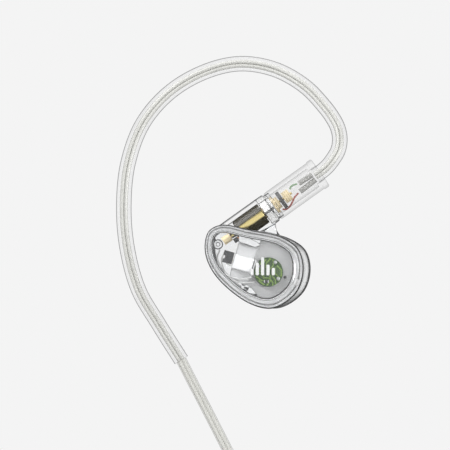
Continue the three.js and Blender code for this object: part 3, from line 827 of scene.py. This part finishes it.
def make_hook():
    """The formed tube, with a second finish on its inner faces, and the two cores in it."""
    route = catmull(HOOK_ROUTE)
    path, _ = resampled_step(route, 0.4)
    outer = round_section(HOOK_RADIUS, 36)(0)
    inner = round_section(HOOK_BORE, 36)(0)
    both = np.vstack([outer, inner])
    hook = sweep("ear_hook_tube", path, lambda distance: both, closed_tube=True)
    settle(hook, "cable", "clear_hook", "ear_hook", slot="clear_boot")
    hook.data.materials.append(MATERIALS["clear_bore"])
    for face in hook.data.polygons[len(path) * len(outer):]:
        face.material_index = 1
    fine, _ = resampled_step(route, 0.25)
    core_pair("hook_core", fine, HOOK_CORE, 24, HOOK_CORE, "hook_lead")


# ---- earpiece: cover and shell

def window_rings(depth, shares):
    """Rings that close the window, each a smaller copy of its edge."""
    edge = face_ring(1, 0.3)
    middle = edge.mean(axis=0)
    return [at_depth(middle + (edge - middle) * share, depth) for share in shares]


def make_cover():
    """Clear cover: a thin window inside a grooved rim, with two alignment tabs on it."""
    rim = RIM_MEAN
    profile = rounded([
        (rim + 0.3, 0.1), (rim + 0.18, 0.1), (rim + 0.1, 0.24), (rim + 0.02, 0.1), (rim - 0.12, 0.0),
        (0.76, 0.0), (0.68, 0.2), (0.52, 0.2), (0.46, 0.02), (0.12, 0.02), (0.0, 0.3), (0.0, 2.0),
        (rim - 0.3, 2.0), (rim, 1.05), (rim + 0.3, 1.0),
    ], 0.07, closed=False)
    rings = window_rings(0.1, (0.25, 0.6, 0.92))
    rings += [at_depth(face_ring(inset / rim), depth) for inset, depth in profile]
    rings += window_rings(1.0, (0.92, 0.6, 0.25))
    settle(loft("clear_cover", rings), "earpiece", "clear_shell", "face_cover")
    # A pale bead behind the rim, and thin rings of painted shade: a dark line on the outer edge, a grey
    # line in the groove and a dark line at the window's edge.
    beads = [
        ("cover_bead", "pale_seal", [(0.15, 2.04), (1.3, 2.04), (1.3, 2.12), (0.15, 2.12)]),
        ("edge_shade_line", "painted_shade_dark",
         [(-0.07, 0.34), (-0.07, 0.06), (0.06, -0.03), (0.15, -0.01), (0.02, 0.3)]),
        ("groove_shade_line", "painted_shade_grey", [(0.53, 0.12), (0.67, 0.12), (0.67, 0.22), (0.53, 0.22)]),
        ("window_shade_line", "painted_shade_dark", [(rim + 0.02, 0.08), (rim + 0.19, 0.08), (rim + 0.11, 0.22)]),
    ]
    for name, finish, corners in beads:
        rings = [at_depth(face_ring(inset / rim), depth) for inset, depth in rounded(corners, 0.03)]
        settle(skin(name, rings), "earpiece", finish, slot="clear_shell")
    tabs = [block("tab", (1.0, 0.3, 1.3), (7.95, 0.1, -2.9), math.radians(28), 0.12),
            block("tab", (1.5, 0.3, 0.4), (-1.3, 0.1, 6.7), math.radians(10), 0.12)]
    settle(joined("alignment_tabs", tabs), "earpiece", "clear_moulding", slot="clear_shell")


def make_mark():
    """Five upright level bars, a plain mark inside the cover."""
    bars = []
    for place, height in enumerate((1.2, 2.4, 3.4, 2.0, 1.4)):
        left, right, low, high = place - 0.7, place - 0.1, -1.6, height - 1.6
        outline = rounded([(left, low), (right, low), (right, high), (left, high)], 0.28)
        bars.append(plate("bar", [outline], 1.14, 1.26, 0.02))
    settle(joined("level_mark", bars), "earpiece", "white_plastic", "face_mark")


def shell_rings(scale, drop, front):
    """Rings of the shell, or of its cavity, from the front to the domed back."""
    rings = []
    for y, sx, sz, dx, dz in catmull(SHELL_SECTIONS, per_segment=6):
        shifted = y - drop * smoothstep((y - 3) / 9)
        x = FACE[:, 0] * sx * scale + dx
        z = FACE[:, 1] * sz * scale + dz
        rings.append(np.column_stack([x, np.full(len(x), shifted), z]))
    back = rings[-1]
    middle = back.mean(axis=0)
    for t in (0.3, 0.55, 0.75, 0.9):
        ring = middle + (back - middle) * math.sqrt(1 - t * t)
        ring[:, 1] += 0.5 * t
        rings.append(ring)
    if front is not None:
        rings.insert(0, rings[0] + np.array([0, front - rings[0][0, 1], 0]))
    return rings


def tower_place(point):
    """How far a point is along the connector's axis, and its offset square to it."""
    offset = point - JOINT
    along = offset.dot(AXIS)
    return along, offset - AXIS * along


def trued(shell):
    """Brings the tower's walls back to true cylinders after the joins are smoothed."""
    for vertex in shell.data.vertices:
        along, radial = tower_place(vertex.co)
        if not -TOWER_DEPTH < along < -0.6:
            continue
        for radius in (TOWER_BORE, TOWER_RADIUS):
            miss = abs(radial.length - radius)
            if miss < 0.12:
                share = smoothstep((0.12 - miss) / 0.06)
                vertex.co += radial * (share * (radius / radial.length - 1))
    return shell


def on_tower(face):
    """Whether a face is part of the tower's walls, below its mouth."""
    along, radial = tower_place(face.center)
    return -TOWER_DEPTH < along < -1.6 and radial.length < TOWER_RADIUS + 0.05


def tower_web():
    """Outline of the web between the tower and the shell, as (x, z)."""
    curve = catmull([(4.05, 8.1), (4.35, 6.7), (5.6, 5.1)], per_segment=10)
    return [tuple(p) for p in curve] + [(2.5, 3.6), (-1.5, 5.0)]


def make_shell():
    """Clear shell with its connector tower and nozzle, blended at the joins as a moulding is."""
    outer = loft("clear_shell", shell_rings(1, 0, None))
    web = plate("web", [tower_web()], 2.5, 8.1, 0.4)
    tower = lathe("tower", rod(TOWER_RADIUS, -10, 0), JOINT, AXIS, 0.2)
    nozzle = lathe("nozzle", [
        (0, -2), (2.35, -2), (2.35, NOZZLE_LENGTH - 1.6), (2.7, NOZZLE_LENGTH - 1.3),
        (2.7, NOZZLE_LENGTH - 0.5), (2.4, NOZZLE_LENGTH), (0, NOZZLE_LENGTH)],
        NOZZLE_FOOT, NOZZLE_AXIS)
    solid = combine(outer, [web, tower, nozzle], "UNION")
    cavity = loft("cavity", shell_rings(CAVITY_SCALE, 0.9, 1.0))
    bore = lathe("bore", rod(TOWER_BORE, -12, 1), JOINT, AXIS)
    mouth = lathe("mouth", rod(2.62, -1.7, 1.2), JOINT, AXIS)
    canal = lathe("canal", rod(1.6, -2.2, NOZZLE_LENGTH + 1), NOZZLE_FOOT, NOZZLE_AXIS)
    shell = combine(solid, [cavity, bore, mouth, canal], "DIFFERENCE")
    remesh = shell.modifiers.new("remesh", "REMESH")
    remesh.mode = "VOXEL"
    remesh.voxel_size = SHELL_VOXEL
    smooth = shell.modifiers.new("smooth", "SMOOTH")
    smooth.factor = 0.5
    smooth.iterations = 7
    shell = trued(baked(shell, 80))
    tower_faces = [on_tower(face) for face in shell.data.polygons]
    settle(shell, "earpiece", "clear_shell", "inner_shell")
    shell.data.materials.append(MATERIALS["clear_tower"])
    shell.data.polygons.foreach_set("material_index", tower_faces)


# ---- earpiece: inside

def hex_band(name, body, bore, low, high, bevel=0.08):
    """A ring with six flats about the connector's axis, its bevels and corners drawn in a dark finish as
    painted outline shade.
    """
    # The angular width of the painted shade line at each corner.
    line = 0.06 / HEX_RADIUS
    steps = [-line, line, *np.radians((10, 20, 30, 40, 50))]
    angles = [HEX_CORNER + k * math.pi / 3 + step for k in range(6) for step in steps]

    def ring(size, flats, along):
        points = []
        for angle in angles:
            across = (angle - HEX_CORNER + line) % (math.pi / 3) - line - math.pi / 6
            reach = size * math.cos(math.pi / 6) / math.cos(across) if flats else size
            spoke = math.sin(angle) * CONNECTOR_SIDE - math.cos(angle) * DEPTH
            points.append(JOINT + AXIS * along + reach * spoke)
        return points
    band = skin(name, [
        ring(bore, False, low), ring(HEX_RADIUS - bevel, True, low), ring(HEX_RADIUS, True, low + bevel),
        ring(HEX_RADIUS, True, high - bevel), ring(HEX_RADIUS - bevel, True, high),
        ring(bore, False, high)])
    settle(band, body, "white_plastic")
    band.data.materials.append(MATERIALS["painted_outline_grey"])
    # The bevels and thin corner strips take the grey finish: painted outline shade.
    for face in band.data.polygons:
        row, place = divmod(min(face.vertices), len(angles))
        is_corner = place % len(steps) == 0 and row == 2
        face.material_index = 1 if row in (1, 3) or is_corner else 0
    return band


def make_socket():
    """Gold socket in the tower: barrel, rear pin, ground lug, collar, liner and contact."""
    body = lathe("socket_barrel", [
        (0.45, -9.2), (0.55, -9.2), (0.55, -7.6), (1.8, -7.6), (2.04, -7.3), (2.04, -1.8),
        (1.5, -1.8), (1.5, -7.0), (0.45, -7.0)],
        JOINT, AXIS, 0.06)
    settle(body, "earpiece", "socket_gold", "socket_body", slot="gold")
    tail = lathe("socket_tail", sleeve(0.45, 0.8, -11.0, -9.3), JOINT, AXIS, 0.1)
    settle(tail, "earpiece", "soft_gold", slot="gold")
    foot = JOINT + CONNECTOR_SIDE * 1.15
    for name, radius, low, high, finish in (("ground_lug", 0.46, -9.3, -8.4, "dark_plastic"),
                                            ("ground_lug_foot", 0.5, -8.4, -7.6, "copper")):
        lug = lathe(name, rod(radius, low, high), foot, AXIS, 0.1, 40)
        settle(lug, "earpiece", finish, slot="gold")
    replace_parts(hex_band("hex_collar", "earpiece", 1.6, -1.55, -0.2), "socket_collar")
    insulator = lathe("socket_liner", sleeve(0.5, 1.4, -6.8, -5.3), JOINT, AXIS)
    settle(insulator, "earpiece", "white_plastic", "socket_insulator")
    contact = lathe("socket_pin_contact",
                    [(0, -10.6), (0.35, -10.6), (0.35, -5.2), (0.25, -4.7), (0, -4.7)], JOINT, AXIS)
    settle(contact, "earpiece", "copper", "socket_contact", slot="gold")


def make_carrier():
    """Grey plate that carries the drivers, with a raised pale step and a vent."""
    edge = [tuple(p) for p in face_ring(1, 0.15)]
    whole = plate("carrier_plate", [edge, circle(5.8, -2.0, 0.28, 24)], 3.3, 3.9, 0.1)
    clearance = plate("clearance", [[
        (0.2, -9), (0.6, -5.3), (-2.3, -3.2), (-4.67, -1.88), (-2.9, 4.6), (0.2, 3.9), (1.2, 4.6),
        (1.2, 12), (-12, 12), (-12, -9)]], 2.5, 4.6, 0.05)
    settle(combine(whole, [clearance], "DIFFERENCE"), "earpiece", "grey_plate", "driver_carrier")
    step = rounded([(-2.75, 4.4), (0.7, 3.5), (0.32, 2.5), (-1.1, -2.75), (-2.3, -3.0), (-4.5, -1.85)], 0.2)
    settle(plate("carrier_step", [step], 3.12, 3.28, 0.06), "earpiece", "pale_plate", slot="grey_plate")


def make_driver():
    """Dynamic driver: a cup, magnet, basket and ring, with a film and its voice coil."""
    parts = [
        ("driver_cup", [(0, 4.2), (3.1, 4.2), (3.1, 5.9), (2.85, 5.9), (2.85, 4.55), (0, 4.55)],
         "steel", "driver_yoke"),
        ("driver_slug", rod(2.1, 4.65, 5.75), "magnet", "driver_magnet"),
        ("driver_frame", [(3.25, 5.0), (4.1, 5.0), (4.6, 5.6), (4.6, 6.8), (3.25, 6.8)],
         "dark_plastic", "driver_basket"),
        ("driver_front_ring", sleeve(4.3, 4.5, 6.95, 7.8), "steel", "driver_ring"),
    ]
    for name, profile, finish, cad in parts:
        settle(lathe(name, profile, DRIVER, DEPTH, 0.06), "earpiece", finish, cad)
    dome = [(0, 7.2), (4.15, 7.2), (4.15, 7.32), (3.4, 7.5), (2.6, 7.35), (1.6, 7.7), (0, 7.82)]
    settle(lathe("diaphragm_film", dome, DRIVER, DEPTH, 0.3), "diaphragm", "film", "diaphragm")
    windings = [(2.65 - 0.03 * (k % 2), 5.2 + 0.06 * k) for k in range(28)]
    coil = lathe("voice_coil_winding", [(2.4, 5.2), *windings, (2.4, 6.9)], DRIVER, DEPTH, 0.01)
    settle(coil, "diaphragm", "copper", "voice_coil")


def make_armature():
    """Balanced armature: white case with a lid seam, its terminal strip and the dark adapter."""
    turn = Matrix.Translation(ARMATURE) @ Matrix.Rotation(ARMATURE_TILT, 4, "Y")

    def box(name, size, place, bevel):
        return block(name, size, turn @ Vector(place), ARMATURE_TILT, bevel)
    case = [box("can", (3.8, 0.95, 2.8), (0, 0.27, 0), 0.22),
            box("lid", (3.66, 0.5, 2.66), (0, -0.49, 0), 0.16)]
    settle(joined("armature_can", case), "earpiece", "armature_white", "armature_case")
    terminal = [box("strip", (0.28, 0.5, 2.4), (2.15, -0.4, 0), 0.08),
                *[box("pad", (0.3, 0.12, 0.4), (1.7, -0.78, z), 0.05) for z in (-0.7, 0.7)]]
    settle(joined("armature_strip", terminal), "earpiece", "tinned", "armature_terminal", slot="solder")
    adapter = plate("sound_adapter", [rounded([
        (-4.0, 1.5), (-2.05, 1.5), (-2.05, -0.75), (-3.9, -0.8), (-3.9, -0.1), (-3.55, 0.0),
        (-3.55, 0.5), (-4.0, 0.6)], 0.12)], -0.75, 0.75, 0.1)
    adapter.data.transform(turn)
    settle(adapter, "earpiece", "dark_plastic", "armature_adapter")


def make_board():
    """Round crossover board with raised traces and vias, solder drops and chip parts."""
    x, z = BOARD
    board = plate("crossover_disc", [circle(x, z, 2.74)], 2.3, 2.9, 0.06)
    settle(board, "earpiece", "green_board", "crossover_board")
    traces = []
    for route in BOARD_TRACES:
        path = resample(np.array([(x + px, 2.28, z + pz) for px, pz in route]), 24)
        traces.append(sweep("trace", path, flat_section(0.11, 0.03)))
        for px, pz in (route[0], route[-1]):
            traces.append(plate("via", [circle(x + px, z + pz, 0.17, 20)], 2.2, 2.3, 0.015))
    settle(joined("board_traces", traces), "earpiece", "board_trace", slot="green_board")
    mound = [(0, 1.93), (0.2, 1.96), (0.36, 2.12), (0.38, 2.25), (0, 2.25)]
    for number, (px, pz) in enumerate(((3.96, 0.83), (4.54, -2.23)), 1):
        drop = lathe(f"solder_drop_{number}", mound, Vector((px, 0, pz)), DEPTH, 0.06, 32)
        settle(drop, "earpiece", "solder", f"solder_pad_{number}")
    for number, (px, pz) in enumerate(((1.3, 0.1), (2.3, -2.75)), 1):
        chip = block(f"chip_body_{number}", (0.55, 0.36, 0.48), (px, 2.05, pz), 0, 0.04)
        settle(chip, "earpiece", "dark_plastic", f"chip_{number}")
        ends = [block("end", (0.17, 0.38, 0.5), (px + side, 2.05, pz), 0, 0.04)
                for side in (-0.36, 0.36)]
        settle(joined(f"chip_ends_{number}", ends), "earpiece", "solder")


def with_painted_outline(piece):
    """Gives a flat piece's bevelled rim a darker finish, a painted outline shade."""
    piece.data.materials.append(MATERIALS["painted_outline_grey"])
    for face in piece.data.polygons:
        face.material_index = 0 if abs(face.normal.y) > 0.93 else 1


def make_supports():
    """Guide post, and the clamp bar and bracket that hold the socket and the carrier."""
    post = lathe("guide_post", sleeve(0.35, 0.8, 2.3, 3.9), GUIDE_POST, DEPTH, 0.2, 48)
    settle(post, "earpiece", "white_moulding", "locating_post", slot="clear_shell")
    # Two thin dark rings on the post's face, inside and round it, as painted shade outlines.
    lines = [lathe("line", sleeve(inner, outer, 2.22, 2.28), GUIDE_POST, DEPTH, 0.02, 48)
             for inner, outer in ((0.3, 0.42), (0.78, 0.95))]
    settle(joined("guide_post_shade_lines", lines), "earpiece", "painted_shade_dark", slot="clear_shell")
    bar = [(-2.9, 6.0), (-1.0, 5.6), (0.5, 4.7), (1.5, 4.0), (0.2, 3.6), (-2.9, 4.65)]
    wedge = [(-2.5, -3.35), (-0.5, -3.85), (0.5, -5.1), (0.0, -5.25), (-1.4, -4.9), (-2.6, -4.2)]
    boss = circle(-1.5, -4.05, 0.4, 32)
    for name, outlines, cad in (("clamp_bar", [rounded(bar, 0.15)], "socket_clamp"),
                                ("bracket", [rounded(wedge, 0.15), boss], "carrier_bracket")):
        piece = plate(name, outlines, 2.3, 3.0, 0.16)
        with_painted_outline(settle(piece, "earpiece", "white_moulding", cad, slot="white_plastic"))


def make_inner_tubes():
    """The armature's sound tube, and the wires from the socket to the board."""
    sound = [(-4.9, 3.4, 1.7), (-4.9, 5.0, 1.5), (-4.7, 7.2, 1.0), (-3.5, 8.8, 0.4),
             (-1.4, 9.6, -0.3), (-0.3, 9.9, -0.6)]
    signal = [(-6.4, 4.6, 3.2), (-6.9, 4.4, 1.8), (-6.6, 3.9, 0.0), (-5.6, 3.2, -1.4),
              (-4.2, 2.8, -2.0), (-2.2, 2.7, -2.3), (-0.4, 2.6, -1.9)]
    ground = [(-5.6, 6.9, 2.6), (-6.1, 6.2, 1.2), (-5.7, 4.8, -0.6), (-5.0, 3.2, -2.0),
              (-3.8, 2.8, -2.7), (-2.0, 2.7, -3.0), (0.1, 2.6, -2.9)]
    runs = [("sound_pipe", sound, 0.65, "lead_jacket", "sound_tube"),
            ("signal_run", signal, 0.15, "pale_jacket", "inner_signal_wire"),
            ("ground_run", ground, 0.15, "pale_jacket", "inner_ground_wire")]
    for name, points, radius, finish, cad in runs:
        settle(sweep(name, catmull(points), round_section(radius)), "earpiece", finish, cad)


def make_nozzle_parts():
    """Woven screen in the nozzle's mouth, and the damper behind it."""
    radius, pitch, wire = 1.42, 0.24, 0.05
    turn = NOZZLE_AXIS.to_track_quat("Z", "Y").to_matrix().to_4x4()
    place = Matrix.Translation(NOZZLE_FOOT) @ turn
    wires = [lathe("ring", sleeve(1.3, 1.45, NOZZLE_LENGTH - 0.8, NOZZLE_LENGTH - 0.4),
                   NOZZLE_FOOT, NOZZLE_AXIS, 0.04, 48)]
    offsets = np.arange(-5, 6) * pitch
    for direction in (0, 1):
        for number, offset in enumerate(offsets):
            half = math.sqrt(radius ** 2 - offset ** 2)
            along = np.linspace(-half, half, 36)
            lift = (NOZZLE_LENGTH - 0.6
                    + 0.05 * np.cos(math.pi * (along / pitch + number + direction)))
            across = np.full_like(along, offset)
            xyz = np.column_stack([along, across, lift] if direction == 0 else [across, along, lift])
            path = np.array([place @ Vector(p) for p in xyz])
            wires.append(sweep("wire", path, round_section(wire, 6)))
    settle(joined("screen_mesh", wires), "earpiece", "steel", "nozzle_screen")
    damper = lathe("damper_sleeve", sleeve(0.5, 1.45, 2.6, 4.6), NOZZLE_FOOT, NOZZLE_AXIS, 0.1, 48)
    settle(damper, "earpiece", "white_plastic", "damper")


def make_ear_tip():
    """Mushroom-shaped silicone tip, open at its back."""
    bore = 2.85
    profile = [
        (bore, 0.4), (3.4, 0.4), (3.4, 4.8), (4.2, 4.6), (4.95, 3.4), (5.15, 1.7), (5.0, 0.1),
        (5.4, 0), (5.65, 1.7), (5.5, 3.7), (4.6, 5.7), (3.4, 6.6), (2.3, 6.7), (1.9, 6.4),
        (1.9, 5.0), (bore, 4.9),
    ]
    tip = lathe("silicone_tip", profile, NOZZLE_FOOT + NOZZLE_AXIS * TIP_START, NOZZLE_AXIS, 0.9, 96)
    settle(tip, "ear_tip", "ear_silicone", "ear_tip")


# ---- cable side of the connector

def threads(radius, start, stop, pitch=0.42):
    """Profile corners of a row of shallow grooves."""
    corners = []
    for h in np.arange(start, stop - pitch / 2, pitch):
        corners += [(radius, h), (radius - 0.05, h + 0.08), (radius - 0.05, h + 0.2), (radius, h + 0.28)]
    return corners


def make_plug():
    """The plug in its clear boot: barrel, sleeve, pin, washer and rear ferrule."""
    parts = [
        ("clear_boot_body", [
            (2.35, 0.3), (2.8, 0.3), (2.95, 0.6), (2.95, 10.2), (3.1, 10.4), (3.1, 11.2),
            (2.9, 11.4), (1.6, 11.4), (1.6, 9.7), (2.1, 9.7), (2.1, 1.2), (1.35, 1.2), (1.35, 0.66),
            (2.35, 0.66)], "clear_boot", "clear_boot", "boot"),
        ("plug_barrel_gold", [
            (0.7, -3.6), (1.1, -3.6), (1.2, -3.4), (1.2, -2.75), (0.95, -2.75), (0.95, -1.85),
            (1.2, -1.85), *threads(1.2, 0.2, 1.8), (1.2, 1.9), (0.7, 1.9)],
         "soft_gold", "gold", "plug_barrel"),
        ("plug_inner_sleeve", sleeve(0.35, 0.62, -0.4, 1.8), "white_plastic", "white_plastic",
         "plug_insulator"),
        ("plug_centre_pin", [(0, -4.4), (0.14, -4.4), (0.25, -4.15), (0.25, 4.8), (0, 4.8)],
         "gold", "gold", "plug_pin"),
        ("plug_washer", sleeve(0.4, 1.75, 2.1, 2.8), "dark_plastic", "dark_plastic", "plug_disc"),
        ("plug_rear_ferrule",
         [(0.4, 2.95), (1.15, 2.95), *threads(1.15, 3.05, 4.3), (1.15, 4.4), (0.4, 4.4)],
         "soft_gold", "gold", "plug_ferrule"),
    ]
    for name, profile, finish, slot, cad in parts:
        settle(lathe(name, profile, JOINT, AXIS), "cable", finish, cad, slot=slot)
    hex_band("boot_front_flange", "cable", 1.35, -0.17, 0.62)


def connector_point(across, along):
    """A point in the connector's middle plane, across its axis and along it."""
    return JOINT + CONNECTOR_SIDE * across + AXIS * along


def make_plug_wires():
    """Two short wires from the plug to the bared ends of the cores."""
    wires = [
        ("plug_signal_wire", [(-0.72, 4.9), (-1.0, 5.3), (-1.0, 5.9), (-0.75, 6.6)],
         "green_jacket", "signal_wire"),
        ("plug_return_wire", [(1.5, 1.6), (1.9, 2.1), (1.93, 2.8), (1.6, 3.7), (1.0, 4.8), (0.77, 5.8)],
         "red_jacket", "return_wire"),
    ]
    for name, points, finish, cad in wires:
        path = catmull([connector_point(*p) for p in points])
        settle(sweep(name, path, round_section(0.17, 16)), "cable", finish, cad)
    for number, across, start in ((1, -0.66, 6.9), (2, 0.74, 6.2)):
        ends = [connector_point(across, start), connector_point(across * 0.8, 9.9)]
        path = resample(np.array(ends), 24)
        core = sweep(f"bared_core_{number}", path, stranded_section(BARE_CORE, 25, 1.8, 0.3))
        settle(core, "cable", "bare_core", f"core_end_{number}", slot="silver_core")


def make_snap_ring():
    """Split spring ring in the groove of the plug's barrel."""
    gap = math.radians(25)
    angles = np.linspace(gap, 2 * math.pi - gap, 60)
    turn = AXIS.to_track_quat("Z", "Y").to_matrix()
    points = [JOINT + turn @ Vector((1.215 * math.cos(a), 1.215 * math.sin(a), -2.3)) for a in angles]
    tangents = np.gradient(np.array(points), axis=0)
    rings = []
    for point, tangent, angle in zip(points, tangents, angles):
        outward = np.array(turn @ Vector((math.cos(angle), math.sin(angle), 0)))
        rings.append([np.array(point) + 0.17 * math.cos(b) * outward + 0.19 * math.sin(b) * np.array(AXIS)
                      for b in even_angles(12)])
    settle(loft("snap_ring_wire", rings), "snap_ring", "copper", "snap_ring")


# ---- tie and jack

def make_tie():
    """Soft strap round the coil's top, with a ridge along it."""
    y, z = LAYERS[0] * CORD / 2 + 0.35, len(LAYERS) * CORD / 2 + 0.35
    loop = resample(np.array(rounded([(-y, -z), (y, -z), (y, z), (-y, z)], 1.4, 10)), 96, closed=True)
    profile = rounded([(-1.5, 0), (1.5, 0), (1.5, 0.6), (0.5, 0.6), (0.35, 0.75), (-0.35, 0.75),
                       (-0.5, 0.6), (-1.5, 0.6)], 0.2, 4)
    rings = [[(COIL.x + x, COIL.y + p[0] + n[0] * lift, COIL.z + COIL_MIDDLE + p[1] + n[1] * lift)
              for x, lift in profile] for p, n in zip(loop, loop_normals(loop))]
    return settle(skin("strap", rings), "cable", "strap_silicone", "cable_tie")


def relief_profile():
    """A tapered strain relief with flexing grooves."""
    points = [(0, 0), (1.1, 0)]
    for k in range(7):
        height = 0.6 + 0.85 * k
        radius = 1.15 + 0.065 * k
        points += [(radius, height), (radius - 0.2, height + 0.1), (radius - 0.2, height + 0.35),
                   (radius + 0.03, height + 0.45)]
    return points + [(1.6, 6.7), (1.6, 7.1), (0, 7.1)]


def handle_profile():
    """The plug's handle, with a band of grip rings."""
    points = [(0, 7.2), (2.2, 7.2), (2.7, 7.9), (2.7, 11.5)]
    for k in range(9):
        height = 11.7 + 0.6 * k
        points += [(2.7, height), (2.58, height + 0.1), (2.58, height + 0.25), (2.7, height + 0.35)]
    return points + [(2.7, 21.0), (2.3, 22.0), (0, 22.0)]


def make_jack():
    """The 3.5 mm plug on the lead's end, with its strain relief and handle."""
    tip = [(0, 33.15), (1.75, 33.15), (1.75, 33.9), (1.25, 34.6), (1.7, 35.8), (1.3, 36.5),
           (0.5, 37.0), (0, 37.0)]
    parts = [
        ("jack_strain_relief", relief_profile(), "strap_silicone", "jack_relief"),
        ("jack_grip", handle_profile(), "satin_metal", "jack_handle"),
        ("jack_sleeve_contact", rod(1.75, 22.05, 29.42), "gold", "jack_sleeve"),
        ("jack_band_1", rod(1.68, 29.42, 30.03), "dark_plastic", "jack_insulator_1"),
        ("jack_ring_contact", rod(1.75, 30.03, 32.52), "gold", "jack_ring"),
        ("jack_band_2", rod(1.68, 32.52, 33.15), "dark_plastic", "jack_insulator_2"),
        ("jack_tip_contact", tip, "gold", "jack_tip"),
    ]
    return [settle(lathe(name, profile, JACK_TOP, DOWN, 0.12), "cable", finish, cad)
            for name, profile, finish, cad in parts]


# ---- build

make_camera()
make_world()
make_clear_materials()
make_metals()
make_plastics()
jacket, cores, lead_line, lead_length = make_lead()
tie = make_tie()
jack = make_jack()
make_hook()
TO_ROW @ Vector(HOOK_ROUTE[-1])
[TO_ROW @ Vector(p) for p in lead_line[::2]]
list(cores)
make_cover()
make_mark()
make_shell()
make_socket()
make_carrier()
make_driver()
make_armature()
make_board()
make_supports()
make_inner_tubes()
make_nozzle_parts()
make_ear_tip()
make_plug()
make_plug_wires()
make_snap_ring()
make_floor(cad_box[0].z - FLOOR_DROP)
for lamp in LAMPS:
    make_lamp(*lamp)
bpy.context.scene.view_settings.view_transform = "Standard"
bpy.context.scene.cycles.max_bounces = 24
bpy.context.scene.cycles.transmission_bounces = 20
bpy.context.scene.cycles.transparent_max_bounces = 24
